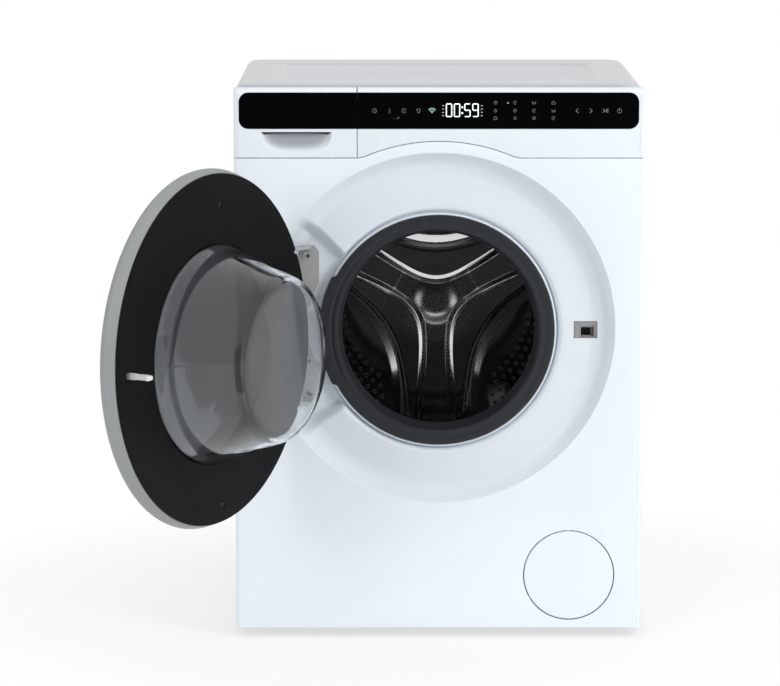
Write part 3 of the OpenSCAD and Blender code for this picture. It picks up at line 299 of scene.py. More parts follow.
# How far in from the outline, and how deep under the outer face, from the inner face's field over
# the rim to the outer face and down into its field.
SIDE_SECTION = ((0.067, SIDE_PRESSING + SIDE_SHEET), (0.058, SIDE_SHEET), (0.0002, SIDE_SHEET),
                (0.0, 0.0009), (0.0, 0.0003), (0.0003, 0.0), (0.058, 0.0), (0.061, 0.0004),
                (0.0635, 0.0012), (0.066, SIDE_PRESSING))


def bar(low, high):
    """Plain bar between two corners."""
    (x0, y0, z0), (x1, y1, z1) = low, high
    return lofted([[(x0, y0, z), (x1, y0, z), (x1, y1, z), (x0, y1, z)] for z in (z0, z1)])


def build_sides():
    enamel = finish("side_enamel", (0.83, 0.845, 0.86), 0.3, grain=900, relief=0.06, coat=0.2)
    for name, side in (("side_panel_left", -1), ("side_panel_right", 1)):
        low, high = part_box(name)
        verts, faces = lofted([
            round_loop(low.y + inset, high.y - inset, low.z + inset, high.z - inset, 0.004 + inset * 0.35, 8,
                       lambda y, z: (side * (SIDE_X - depth), y, z)) for inset, depth in SIDE_SECTION])
        fold, root = SIDE_X - SIDE_FLANGE, SIDE_X - SIDE_SHEET * 0.75
        for a, b in (((fold, low.y, low.z), (root, low.y + SIDE_SHEET, SIDE_SEAM_Z)),
                     ((fold, high.y - SIDE_SHEET, low.z), (root, high.y, high.z)),
                     ((fold, low.y, high.z - SIDE_SHEET), (root, high.y, high.z)),
                     (SPRING_BRACKET[0], (root, *SPRING_BRACKET[1]))):
            more, quads = bar(a, b)
            faces += [tuple(i + len(verts) for i in quad) for quad in quads]
            verts += [(side * x, y, z) for x, y, z in more]
        piece(name + "_sheet", (verts, faces), enamel, "cabinet", stands_for=(name,), sharp=40)


build_sides()

# Front panel.
# One pressed steel sheet, enamelled white: a flat front whose top edge arches over the door, a
# dished recess for the door, a deeper hinge pocket on the left and a round hole for the hatch.
PANEL_HALF_W = 0.255
PANEL_BOTTOM = 0.012
PANEL_SEAM_Z = 0.6077
PANEL_EDGE_R = 0.004
PANEL_FLAT_W = PANEL_HALF_W - PANEL_EDGE_R
PANEL_GAP = 0.0005
DOOR_Z = 0.3935
DRUM_Z = 0.3885
DISH_R = 0.221
DISH_DEPTH = 0.022
DISH_STEPS = 960
POCKET_HALF_ANGLE = 38.0
POCKET_SLOPE = 4.6
ARCH_R = 0.235
ARCH_BLEND = 0.031
HATCH_X, HATCH_Z, HATCH_R = 0.1645, 0.0795, 0.0563
HATCH_HOLE_R = HATCH_R + 0.0012
LOCK_WINDOW = ((0.1697, FRONT_Y + 0.01, 0.3787), (0.1993, FRONT_Y + 0.034, 0.4003))


def arc(cx, cz, r, start=0, end=360, steps=16):
    """Points of an arc in the plane of the front, angles in degrees."""
    return [(cx + r * math.cos(math.radians(start + (end - start) * i / steps)),
             cz + r * math.sin(math.radians(start + (end - start) * i / steps))) for i in range(steps + 1)]


def ring_of(cx, cz, r, steps):
    """Full circle in the plane of the front, without a doubled last point."""
    return arc(cx, cz, r, 0, 360, steps)[:-1]


def sheet_between(outlines, depth0, depth1, ease=0.0006, turns=3):
    """Flat plate with holes and eased edges, standing in the front's plane."""
    curve = bpy.data.curves.new("outline", "CURVE")
    curve.dimensions = "2D"
    curve.fill_mode = "BOTH"
    curve.extrude = (depth1 - depth0) / 2 - ease
    curve.bevel_depth = ease
    curve.bevel_resolution = turns
    curve.offset = -ease
    for outline in outlines:
        spline = curve.splines.new("POLY")
        spline.points.add(len(outline) - 1)
        for point, (x, z) in zip(spline.points, outline):
            point.co = (x, z, 0, 1)
        spline.use_cyclic_u = True
    holder = bpy.data.objects.new("outline", curve)
    bpy.context.scene.collection.objects.link(holder)
    bpy.context.view_layer.update()
    mesh = holder.evaluated_get(bpy.context.evaluated_depsgraph_get()).to_mesh()
    middle = FRONT_Y + (depth0 + depth1) / 2
    verts = [(v.co.x, middle + v.co.z, v.co.y) for v in mesh.vertices]
    faces = [tuple(f.vertices) for f in mesh.polygons]
    bpy.data.objects.remove(holder)
    bpy.data.curves.remove(curve)
    return verts, faces


def prism(outline, y0, y1):
    """Closed outline in the plane of the front, drawn out between two depths of y."""
    return lofted([[(x, y0, z) for x, z in outline], [(x, y1, z) for x, z in outline]])


def ring_faces(steps, n, closed=True, first=0):
    """Faces of a section of n points repeated round a full turn, and closed on itself or open."""
    return [(first + s * n + i, first + s * n + (i + 1) % n, first + t * n + (i + 1) % n, first + t * n + i)
            for s, t in ((s, (s + 1) % steps) for s in range(steps)) for i in range(n if closed else n - 1)]


def spun(section, z, x=0.0, steps=192, closed=True):
    """Skin of a (radius, depth) section turned about a front-to-back axis at (x, z)."""
    verts = [(x + r * math.cos(a), FRONT_Y + d, z + r * math.sin(a))
             for a in (math.tau * s / steps for s in range(steps)) for r, d in section]
    return verts, ring_faces(steps, len(section), closed)


def thicken(made, thickness, offset):
    """Sheet thickness for an open skin."""
    sheet = made.modifiers.new("sheet", "SOLIDIFY")
    sheet.thickness = thickness
    sheet.offset = offset


def soften(made, width, segments=2):
    """Small bevel on the edges of a piece."""
    edge = made.modifiers.new("edge", "BEVEL")
    edge.width = width
    edge.segments = segments
    edge.limit_method = "ANGLE"


def cut_out(target, blocks):
    """Take closed blocks out of a mesh, and keep the result as the mesh."""
    tools = []
    for k, (verts, faces) in enumerate(blocks):
        mesh = bpy.data.meshes.new("cutter")
        mesh.from_pydata([tuple(v) for v in verts], [], faces)
        work = bmesh.new()
        work.from_mesh(mesh)
        bmesh.ops.recalc_face_normals(work, faces=work.faces)
        work.to_mesh(mesh)
        work.free()
        tools.append(bpy.data.objects.new("cutter", mesh))
        bpy.context.scene.collection.objects.link(tools[-1])
        cut = target.modifiers.new("cut_%d" % k, "BOOLEAN")
        cut.object = tools[-1]
        cut.solver = "EXACT"
    bpy.context.view_layer.update()
    done = bpy.data.meshes.new_from_object(target.evaluated_get(bpy.context.evaluated_depsgraph_get()))
    target.modifiers.clear()
    target.data = done
    for tool in tools:
        bpy.data.objects.remove(tool)


def arch_edge(grow):
    """The line over the door from right to left, where the panel meets the fascia."""
    r = ARCH_R + grow
    seam_z = PANEL_SEAM_Z + grow
    blend = ARCH_BLEND - grow
    rise = seam_z + blend - DOOR_Z
    blend_x = math.sqrt((r + blend) ** 2 - rise * rise)
    lean = math.degrees(math.atan2(rise, blend_x))
    right = arc(blend_x, seam_z + blend, blend, 270, 180 + lean, 8)
    left = [(-x, z) for x, z in reversed(right)]
    return right + arc(0, DOOR_Z, r, lean, 180 - lean, 48)[1:-1] + left


def smooth_path(points, between=6):
    """Catmull-Rom path through the points, ends included."""
    out = []
    last = len(points) - 1
    for k in range(last):
        p0, p1, p2, p3 = (points[max(0, min(last, k + o))] for o in (-1, 0, 1, 2))
        for i in range(between):
            t = i / between
            out.append(tuple(
                b + t / 2 * (c - a + t * (2 * a - 5 * b + 4 * c - d + t * (3 * b - a - 3 * c + d)))
                for a, b, c, d in zip(p0, p1, p2, p3)))
    out.append(points[-1])
    return out


def edge_strip(name, side, tail, levels, material, body):
    """Upright outer corner: rolled from the flat face, and on through the tail of (x, depth) points."""
    section = [(PANEL_FLAT_W - 0.0006, 0.0), (PANEL_FLAT_W, 0.0)]
    section += [(PANEL_FLAT_W + PANEL_EDGE_R * math.sin(a), PANEL_EDGE_R * (1 - math.cos(a)))
                for a in (math.pi / 16 * i for i in range(1, 9))]
    loops = [[(side * x, FRONT_Y + d, z) for x, d in section + tail] for z in levels]
    piece(name, lofted(loops), material, body, sharp=30)


def build_front():
    enamel = finish("front_enamel", (0.81, 0.855, 0.905), 0.3, grain=900, relief=0.05, coat=0.2)
    top = PANEL_SEAM_Z - PANEL_GAP
    edge = [(x, z) for x, z in arch_edge(-PANEL_GAP) if abs(x) < PANEL_FLAT_W]
    outline = [(PANEL_FLAT_W, PANEL_BOTTOM), (PANEL_FLAT_W, top)] + edge
    outline += [(-PANEL_FLAT_W, top), (-PANEL_FLAT_W, PANEL_BOTTOM)]
    outlines = [outline, ring_of(0, DOOR_Z, DISH_R, 240), ring_of(HATCH_X, HATCH_Z, HATCH_HOLE_R, 96)]
    piece("front_sheet", sheet_between(outlines, 0, 0.0016, 0.0005), enamel, "cabinet",
          ("front_panel",))
    # The long vertical edges roll back into the sides.
    tail = [(PANEL_HALF_W, 0.015), (PANEL_HALF_W - 0.0012, 0.015), (PANEL_HALF_W - 0.0012, PANEL_EDGE_R),
            (PANEL_FLAT_W - 0.0006, 0.0016)]
    levels = (PANEL_BOTTOM, PANEL_BOTTOM + 0.0004, top - 0.0004, top)
    for name, side in (("front_edge_left", -1), ("front_edge_right", 1)):
        edge_strip(name, side, tail, levels, enamel, "cabinet")
    # Rolled collar behind the hatch.
    collar = [(HATCH_HOLE_R, 0.0008), (HATCH_HOLE_R, 0.008), (HATCH_HOLE_R + 0.0012, 0.008),
              (HATCH_HOLE_R + 0.0012, 0.0008)]
    piece("hatch_collar", spun(collar, HATCH_Z, HATCH_X, steps=96), enamel, "cabinet")
    build_dish()
    return enamel


def build_dish():
    """Door recess: a concave wall, a flat floor that ends at the seal, and the hinge pocket."""
    enamel = finish("dish_enamel_painted_shade", (0.81, 0.855, 0.905), 0.3, grain=900, relief=0.05, coat=0.2)
    # Painted shade: the recess's enamel darkens with depth towards its floor.
    paint_depth_shade(enamel, FRONT_Y + 0.002, FRONT_Y + DISH_DEPTH, 0.13)
    wall = [(0.2216, 0.0007), (0.221, 0.0012), (0.22, 0.003), (0.217, 0.008), (0.212, 0.014),
            (0.205, 0.019), (0.196, 0.0218), (0.19, 0.022)]
    hollow = [(0.2216, 0.0007), (0.221, 0.0012), (0.2206, 0.003), (0.2188, 0.009), (0.215, 0.02),
              (0.2085, 0.03), (0.1965, 0.0358), (0.19, 0.036)]
    floor = [(0.178, 0.022), (0.168, 0.022), (0.16, 0.022), (0.1575, 0.0221), (0.156, 0.0224),
             (0.1548, 0.023), (0.1536, 0.0241), (0.1526, 0.0257), (0.1516, 0.0278), (0.1508, 0.0298),
             (0.1498, 0.0312), (0.1486, 0.0312), (0.1477, 0.03), (0.1473, 0.027), (0.1471, 0.0235),
             (0.1469, 0.0225), (0.1466, 0.0222), (0.1463, 0.0226), (0.1461, 0.0245), (0.146, 0.03)]
    sunk = [(0.178, 0.036), (0.168, 0.036), (0.16, 0.036), (0.1575, 0.0358), (0.156, 0.0354),
            (0.1548, 0.0347), (0.1536, 0.0338), (0.1524, 0.0328), (0.1514, 0.0318)] + floor[9:]
    shallow, deep = smooth_path(wall) + floor, smooth_path(hollow) + sunk
    verts = []
    for s in range(DISH_STEPS):
        turn = 360.0 * s / DISH_STEPS
        mix = min(1.0, max(0.0, (POCKET_HALF_ANGLE + POCKET_SLOPE / 2 - abs(turn - 180)) / POCKET_SLOPE))
        mix = mix * mix * (3 - 2 * mix) * 0.6 + mix * 0.4
        a = math.radians(turn)
        for (r0, d0), (r1, d1) in zip(shallow, deep):
            r, d = r0 + (r1 - r0) * mix, d0 + (d1 - d0) * mix
            # The door's middle lies above the drum's, so the floor settles from one to the other.
            settle = min(1.0, max(0.0, (0.19 - r) / 0.035))
            z = DOOR_Z + (DRUM_Z - DOOR_Z) * settle
            verts.append((r * math.cos(a), FRONT_Y + d, z + r * math.sin(a)))
    faces = ring_faces(DISH_STEPS, len(shallow), closed=False)
    dish = piece("door_recess", (verts, faces), enamel, "cabinet", sharp=50)
    thicken(dish, 0.001, -1)
    cut_out(dish, [bar(*LOCK_WINDOW)])


front_enamel = build_front()

# Control panel and drawer front.
# Two white mouldings with a rounded crown carry one long black touch strip, split at the drawer's
# seam. A finger scoop lies under the strip on the drawer.
SEAM_X = -0.1017
MOULDING_GAP = 0.0004
STRIP_X0, STRIP_X1 = -0.2486, 0.2481
STRIP_Z0, STRIP_Z1 = 0.6438, 0.6892
STRIP_CORNER = 0.012
FASCIA_FOOT = PANEL_SEAM_Z + 0.0003
FASCIA_TOP = 0.695
FASCIA_DEPTH = 0.014
CROWN_R = 0.0075
CROWN_Z = FASCIA_TOP - CROWN_R
SCOOP_X, SCOOP_HALF_W = -0.1775, 0.044
SCOOP_Z0, SCOOP_LIP = 0.615, 0.64
SCOOP_DEPTH = 0.0106


def crown(name, side, length, plastic, body):
    """Rounded top of a moulding, with its outer end rounded too."""
    line = [(CROWN_R * (1 - math.cos(a)), CROWN_Z + CROWN_R * math.sin(a))
            for a in (math.pi / 18 * i for i in range(10))]
    line += [(FASCIA_DEPTH - 0.0006, FASCIA_TOP), (FASCIA_DEPTH, FASCIA_TOP - 0.0006),
             (FASCIA_DEPTH, FASCIA_TOP - 0.0026), (CROWN_R, FASCIA_TOP - 0.0026), (0.003, CROWN_Z - 0.0005)]
    stations = [PANEL_EDGE_R * (1 - math.cos(math.radians(a))) for a in range(0, 91, 15)]
    stations += [length * k / 6 for k in range(1, 6)] + [length - 0.001, length - 0.0003]
    loops = []
    for near in stations:
        pull = PANEL_EDGE_R - math.sqrt(PANEL_EDGE_R ** 2 - max(0.0, PANEL_EDGE_R - near) ** 2)
        loops.append([(side * (PANEL_HALF_W - near), FRONT_Y + max(d, pull + d * 0.6),
                       z - (min(pull, 0.0035) * 0.8 if z > CROWN_Z + 0.001 else 0)) for d, z in line])
    piece(name, lofted(loops), plastic, body, sharp=38)


def corner_strip(name, side, plastic, body):
    """Rounded outer corner of a moulding, down its whole height."""
    tail = [(PANEL_HALF_W, FASCIA_DEPTH), (PANEL_HALF_W - 0.002, FASCIA_DEPTH),
            (PANEL_HALF_W - 0.002, 0.005), (PANEL_FLAT_W - 0.0006, 0.0035)]
    levels = (FASCIA_FOOT, FASCIA_FOOT + 0.0005, CROWN_Z)
    edge_strip(name, side, tail, levels, plastic, body)


def build_mouldings():
    plastic = finish("moulding_plastic", (0.785, 0.825, 0.87), 0.28, grain=1100, relief=0.05, coat=0.15)
    # Long part on the right.
    start = SEAM_X + MOULDING_GAP
    lower = [(x, z) for x, z in arch_edge(0.0003) if x > start]
    outline = [(PANEL_FLAT_W, CROWN_Z), (start, CROWN_Z), (start, lower[-1][1])] + lower[::-1]
    outline.append((PANEL_FLAT_W, FASCIA_FOOT))
    piece("fascia_face", sheet_between([outline], 0, 0.004, 0.0004), plastic, "cabinet",
          ("control_fascia",))
    crown("fascia_crown", 1, PANEL_HALF_W - start, plastic, "cabinet")
    corner_strip("fascia_corner", 1, plastic, "cabinet")
    build_drawer_front(plastic)
    return plastic


def scoop_depth(x, z):
    """How far the finger scoop sinks at a point: round-bottomed, deepest under its straight upper lip."""
    v = (SCOOP_LIP - z) / (SCOOP_LIP - SCOOP_Z0)
    reach = (abs(x - SCOOP_X) / SCOOP_HALF_W) ** 3.2 + max(0.0, v) ** 2.4
    if v < 0 or reach >= 1:
        return 0.0
    return SCOOP_DEPTH * (1 - reach) ** 0.7 * (1 - 0.3 * v)


def build_drawer_front(plastic):
    """Face of the drawer: a fine grid, pressed in at the scoop, with its rim and its crown."""
    x0, x1 = 0.0005 - PANEL_FLAT_W, SEAM_X - MOULDING_GAP
    columns = sorted({x1 - 0.0004} | {x0 + (x1 - x0) * i / 180 for i in range(181)})
    rows = sorted({FASCIA_FOOT + 0.0004, SCOOP_LIP + 0.00015, SCOOP_LIP - 0.0002}
                  | {FASCIA_FOOT + (SCOOP_LIP - FASCIA_FOOT) * i / 60 for i in range(61)}
                  | {SCOOP_LIP + (CROWN_Z - SCOOP_LIP) * i / 24 for i in range(25)})
    # The inner edge and the foot are eased back a little.
    verts = [(x, FRONT_Y + (0.0004 if x > x1 - 0.0002 or z < FASCIA_FOOT + 0.0002 else scoop_depth(x, z)), z)
             for z in rows for x in columns]
    n = len(columns)
    faces = [(a, a + 1, a + n + 1, a + n) for r in range(len(rows) - 1) for a in range(r * n, r * n + n - 1)]
    # Painted shade: a copy of the moulding plastic that darkens strongly into the finger scoop.
    shaded = finish("drawer_face_plastic_painted_shade", (0.785, 0.825, 0.87), 0.28, grain=1100, relief=0.05, coat=0.15)
    paint_depth_shade(shaded, FRONT_Y + 0.0006, FRONT_Y + 0.0075, 0.7)
    face = piece("drawer_face", (verts, faces), shaded, "drawer", ("drawer_front",), 60)
    thicken(face, 0.002, -1)
    # Painted shadow under the scoop's upper lip: a dark strip laid just in front of the scoop's face.
    shade = finish("scoop_lip_painted_shadow", (0.045, 0.052, 0.052), 0.6, grain=900, relief=0.02)
    upper, lower = [], []
    for i in range(41):
        u = -0.985 + 1.97 * i / 40
        x = SCOOP_X + u * SCOOP_HALF_W
        z = SCOOP_LIP - (0.0024 + 0.0014 * u * u) * min(1.0, (0.987 - abs(u)) / 0.07)
        upper.append((x, FRONT_Y + 0.0004, SCOOP_LIP - 0.0002))
        lower.append((x, FRONT_Y + max(0.0004, scoop_depth(x, z) - 0.0004), z))
    lip_shadow = upper + lower, [(i, i + 1, i + 42, i + 41) for i in range(40)]
    piece("drawer_scoop_lip_shadow", lip_shadow, shade, "drawer")
    crown("drawer_crown", -1, x1 + PANEL_HALF_W, plastic, "drawer")
    corner_strip("drawer_corner", -1, plastic, "drawer")
    # Back plate that the face and the tray's arms are clipped to, and the walls between them.
    left, right, foot = -PANEL_FLAT_W, x1 - 0.002, FASCIA_FOOT + 0.004
    outline = [(right, foot), (right, CROWN_Z), (left, CROWN_Z), (left, foot)]
    back = sheet_between([outline], 0.0122, 0.0138, 0.0003)
    piece("drawer_back", back, plastic, "drawer")
    y0, y1 = FRONT_Y + 0.002, FRONT_Y + 0.0125
    for name, low, high in (
            ("drawer_rib_right", (x1 - 0.0016, y0, FASCIA_FOOT + 0.001), (x1 - 0.0002, y1, CROWN_Z)),
            ("drawer_rib_left", (left, y0, FASCIA_FOOT + 0.001), (left + 0.0014, y1, CROWN_Z)),
            ("drawer_floor", (x0, y0, FASCIA_FOOT + 0.0012), (x1 - 0.001, y1, FASCIA_FOOT + 0.0026))):
        piece(name, bar(low, high), plastic, "drawer")


moulding_plastic = build_mouldings()

# Touch strip.
# Black acrylic bonded to the two mouldings. The symbols are printed on its back and lit from
# behind, and the remaining time shows in seven-segment digits. Signs are drawn in millimetres.
STRIP_FRONT = -0.00035
STRIP_BACK = 0.0016
STRIP_GAP = 0.0003
INK_LIFT = 0.00006
SIGN_Z = 666.6
DIGIT_Z, DIGIT_W, DIGIT_H, DIGIT_NOTCH = 659.4, 6.6, 15.6, 0.75


def strip_half(x0, x1, round_left):
    """Outline of one half of the strip, rounded at its outer end only."""
    r = STRIP_CORNER
    if round_left:
        right = [(x1, STRIP_Z0), (x1, STRIP_Z1)]
        left = arc(x0 + r, STRIP_Z1 - r, r, 90, 180, 14) + arc(x0 + r, STRIP_Z0 + r, r, 180, 270, 14)
    else:
        right = arc(x1 - r, STRIP_Z0 + r, r, 270, 360, 14) + arc(x1 - r, STRIP_Z1 - r, r, 0, 90, 14)
        left = [(x0, STRIP_Z1), (x0, STRIP_Z0)]
    return right + left


def inked(name, groups, colour, glow):
    """Lit ribbons with round ends on the strip's face. A group is a width and its lines."""
    y = FRONT_Y + STRIP_FRONT - INK_LIFT
    verts, faces = [], []
    for width, lines in groups:
        for a, b in ((a, b) for line in lines for a, b in zip(line[:-1], line[1:])):
            turn = math.atan2(b[0] - a[0], a[1] - b[1])
            faces.append(tuple(range(len(verts), len(verts) + 14)))
            for (x, z), start in ((b, turn), (a, turn + math.pi)):
                verts += [(x / 1000 + width / 2 * math.cos(start - math.pi * i / 6), y,
                           z / 1000 + width / 2 * math.sin(start - math.pi * i / 6)) for i in range(7)]
    material = bpy.data.materials.new(name + "_light")
    tree = node_tree(material)
    grain = add(tree, "TexNoise", {"Scale": 2500})
    fade = add(tree, "Mix", {"Factor": grain.outputs["Fac"], "A": (*(c * 0.75 for c in colour), 1),
                             "B": (*colour, 1)}, data_type="RGBA")
    shader = add(tree, "BsdfPrincipled", {"Base Color": fade.outputs["Result"], "Roughness": 0.4,
                                          "Emission Color": (*colour, 1), "Emission Strength": glow})
    add(tree, "OutputMaterial", {"Surface": shader.outputs["BSDF"]})
    piece(name, (verts, faces), material, "cabinet", sharp=80)


def digit_lines(x, number):
    """Lit segments of a seven-segment digit."""
    right, top, middle, g = x + DIGIT_W, DIGIT_Z + DIGIT_H, DIGIT_Z + DIGIT_H / 2, DIGIT_NOTCH
    segments = {
        "a": [(x + g, top), (right - g, top)], "b": [(right, top - g), (right, middle + g)],
        "c": [(right, middle - g), (right, DIGIT_Z + g)], "d": [(x + g, DIGIT_Z), (right - g, DIGIT_Z)],
        "e": [(x, middle - g), (x, DIGIT_Z + g)], "f": [(x, top - g), (x, middle + g)],
        "g": [(x + g, middle), (right - g, middle)]}
    return [segments[s] for s in {"0": "abcdef", "5": "acdfg", "9": "abcdfg"}[number]]


def programme_sign(kind, x, z):
    """One of five small generic signs round a point."""
    return (
        [arc(x, z, 2.0), [(x - 1, z - 1), (x + 1, z + 1)]],
        [[(x - 2.2, z + 1.4), (x - 1.6, z - 1.6), (x + 1.6, z - 1.6), (x + 2.2, z + 1.4)],
         arc(x, z + 1.0, 1.5, 200, 340, 8)],
        [[(x, z + 2.2), (x + 1.7, z - 0.4), (x, z - 2.0), (x - 1.7, z - 0.4), (x, z + 2.2)]],
        [arc(x, z, 2.1, 30, 300), [(x, z + 1.2), (x, z - 0.2), (x + 1.0, z - 0.8)]],
        [[(x - 2.0, z - 1.8), (x - 2.0, z + 0.4), (x, z + 2.1), (x + 2.0, z + 0.4), (x + 2.0, z - 1.8),
          (x - 2.0, z - 1.8)]])[kind]


def option_signs():
    """Clock, thermometer, spiral and shirt on the left, and the programmes' signs in three rows."""
    z = SIGN_Z
    signs = [arc(-80, z, 2.7), [(-80, z + 1.5), (-80, z), (-78.8, z - 0.6)],
             [(-61.5, z + 2.8), (-61.5, z - 1.0)], arc(-61.5, z - 1.9, 1.0),
             arc(-43.5, z, 2.7, 20, 330), arc(-43.5, z, 1.2, 180, 470),
             [(-28.2, z + 1.2), (-26.6, z + 2.4), (-24.6, z + 2.4), (-23.0, z + 1.2), (-24.2, z + 0.2),
              (-24.2, z - 2.4), (-27.0, z - 2.4), (-27.0, z + 0.2), (-28.2, z + 1.2)],
             arc(-54.5, 658.6, 2.2, 200, 320), [(-51.5, 656.4), (-49.5, 658.4), (-51.2, 658.9)]]
    for column, x in enumerate((69.9, 94.1, 117.6, 141.8)):
        for row, z in enumerate((676.6, 666.7, 657.4)):
            signs += programme_sign((column * 3 + row * 2) % 5, x, z)
    return signs


def key_signs():
    """Back, forward, start and power signs on the right."""
    z = SIGN_Z
    arrows = [[(x, z + half), (tip, z), (x, z - half)]
              for x, tip, half in ((172.4, 169.6, 2.5), (187.0, 189.8, 2.5), (203.0, 206.0, 2.2))]
    bars = [[(x, z + 2.2), (x, z - 2.2)] for x in (207.6, 209.2)]
    return arrows + bars + [arc(223.6, z - 0.2, 2.6, 125, 415), [(223.6, z + 3.0), (223.6, z + 0.4)]]


def build_strip():
    acrylic = finish("strip_acrylic", (0.0022, 0.0022, 0.0026), 0.07, grain=300, relief=0.004, tint=0.1,
                     spread=0.01, mirror=0.06)
    for name, outline, body, node in (
            ("strip_right", strip_half(SEAM_X + STRIP_GAP, STRIP_X1, False), "cabinet", "control_glass"),
            ("strip_left", strip_half(STRIP_X0, SEAM_X - STRIP_GAP, True), "drawer", "drawer_glass")):
        shape = sheet_between([outline], STRIP_FRONT, STRIP_BACK, 0.0003)
        piece(name, shape, acrylic, body, (node,))
    digits = [line for x, number in ((9.0, "0"), (18.9, "0"), (31.8, "5"), (41.8, "9"))
              for line in digit_lines(x, number)]
    colon = [arc(28.7, z, 0.5, 0, 360, 8) for z in (663.6, 670.8)]
    inked("time_digits", [(0.0013, digits), (0.0011, colon)], (0.9, 0.95, 0.97), 0.75)
    marks = [[(x, z), (x + 1.6, z)] for x in (4.0, 52.2) for z in (660.5, 664.6, 668.7, 672.8)]
    point = [arc(85.4, 676.3, 0.35, 0, 360, 8)]
    inked("time_marks", [(0.0007, marks), (0.0012, point)], (0.62, 0.66, 0.68), 0.35)
    link = [arc(-8.8, 663.9, r, 45, 135, 10) for r in (2.0, 3.9, 5.8)] + [arc(-8.8, 664.2, 0.35, 0, 360, 8)]
    inked("link_sign", [(0.0009, link)], (0.42, 0.6, 0.52), 0.4)
    inked("option_signs", [(0.0004, option_signs())], (0.27, 0.28, 0.29), 0.1)
    inked("key_signs", [(0.0005, key_signs())], (0.32, 0.33, 0.34), 0.13)


build_strip()

# Filter hatch.
# Round white cover over the pump filter, pushed into the panel's collar with three clips. Its
# edge is eased, so a thin dark ring shows round it.


def build_hatch():
    edge = [(0.0, 0.0002), (0.02, 0.00018), (HATCH_R - 0.0022, 0.0001), (HATCH_R - 0.001, 0.0002),
            (HATCH_R - 0.0003, 0.0006), (HATCH_R, 0.0013), (HATCH_R, 0.003), (HATCH_R - 0.0016, 0.0032),
            (HATCH_R - 0.0018, 0.0024), (0.02, 0.0023), (0.0, 0.0023)]
    piece("hatch_cover", spun(edge, HATCH_Z, HATCH_X, 160), front_enamel, "hatch",
          ("filter_hatch",), sharp=50)
    clip = [(0.0, 0.0028), (0.0026, 0.0028), (0.0028, 0.0035), (0.0028, 0.0095), (0.0022, 0.011),
            (0.0, 0.0115)]
    for number, (x, z) in enumerate(ring_of(HATCH_X, HATCH_Z, HATCH_HOLE_R - 0.003, 12)[3::4]):
        shape = spun(clip, z, x, 24, closed=False)
        piece(f"hatch_clip_{number}", shape, moulding_plastic, "hatch")


build_hatch()

# Door seal.
# Grey rubber bellows between the panel and the tub's neck. A flat lip meets the glass, a groove
# runs behind it, and a lug on the left covers the hinge side.
SEAL_STEPS = 384
LUG_HALF_ANGLE = 28.5
LUG_GROW = 0.0046


def build_seal():
    rubber = finish("seal_rubber", (0.024, 0.027, 0.03), 0.5, grain=1500, relief=0.1, tint=0.12,
                    spread=0.05, mirror=0.3)
    ring = [(0.1446, 0.0236), (0.145, 0.0226), (0.1453, 0.0216), (0.145, 0.0209), (0.1443, 0.0206),
            (0.14, 0.0205), (0.1378, 0.0205), (0.1369, 0.0207), (0.1359, 0.0211), (0.135, 0.0214),
            (0.134, 0.0213), (0.1332, 0.0209), (0.1324, 0.0205), (0.131, 0.0204), (0.1288, 0.0204),
            (0.1277, 0.0208), (0.1271, 0.0216), (0.127, 0.023), (0.1269, 0.026), (0.1263, 0.032),
            (0.1245, 0.039), (0.1226, 0.044), (0.1217, 0.048), (0.1219, 0.0515), (0.1236, 0.054),
            (0.1265, 0.0548), (0.1295, 0.053), (0.1312, 0.048), (0.133, 0.044), (0.1362, 0.043),
            (0.1395, 0.0445), (0.14, 0.038), (0.1398, 0.03), (0.1405, 0.0255)]
    verts = []
    for s in range(SEAL_STEPS):
        turn = 360 * s / SEAL_STEPS
        a = math.radians(turn)
        lug = min(1.0, max(0.0, (LUG_HALF_ANGLE - abs(turn - 180)) / 1.6))
        for i, (r, d) in enumerate(ring):
            # The lug widens the outer lip and lays it flat.
            if i < 6:
                r += LUG_GROW * lug * (1 if 0 < i < 5 else 0.1)
            if lug and 0 < i < 5:
                d = min(d, 0.0203) - (0.0004 if i > 1 else 0)
            verts.append((r * math.cos(a), FRONT_Y + d, DRUM_Z + r * math.sin(a)))
    piece("seal_bellows", (verts, ring_faces(SEAL_STEPS, len(ring))), rubber, "cabinet",
          ("door_seal",), sharp=75)


build_seal()

# Drum.
# Stainless drum: a rolled shell with pierced dimples, a spun front rim, three plastic lifters and
# a deep-drawn rear wall with three boomerang-shaped ribs round the hub.
DRUM_R = 0.214
DRUM_FRONT = 0.064
DRUM_REAR = 0.297
LOBES = (90.0, 210.0, 330.0)
LIFTER_ANGLES = (60, 180, 300)
RIB_EDGES = ((0.03, 0.61), (0.071, 0.56), (0.081, 0.9))
WALL_REAR = 0.2945
WALL_DISH = 0.07
WALL_RINGS, WALL_STEPS = 210, 480
WALL_HOLE_ROWS = (0.125, 0.1355, 0.146, 0.1565, 0.167, 0.1775)
WALL_HOLE_PITCH = 0.0118
SHELL_WAVE = 0.0233
SHELL_COLUMNS, SHELL_ROWS = 48, 9
DIMPLE_SIDES = 12
HOLE_R = 0.0016


def rib_lines(x, z):
    """Distances past the inner edge, the outer edge and the foot of the nearest rib."""
    u, v = max((x * math.cos(a) + z * math.sin(a), -x * math.sin(a) + z * math.cos(a))
               for a in map(math.radians, LOBES))
    return tuple(u - math.sqrt(r ** 2 + spread * v * v) for r, spread in RIB_EDGES)


def ramp(value, low, high):
    """0 below low, 1 above high, straight between."""
    return min(1.0, max(0.0, (value - low) / (high - low)))


def eased(value, low, high):
    """0 below low, 1 above high, smooth between."""
    t = ramp(value, low, high)
    return t * t * (3 - 2 * t)


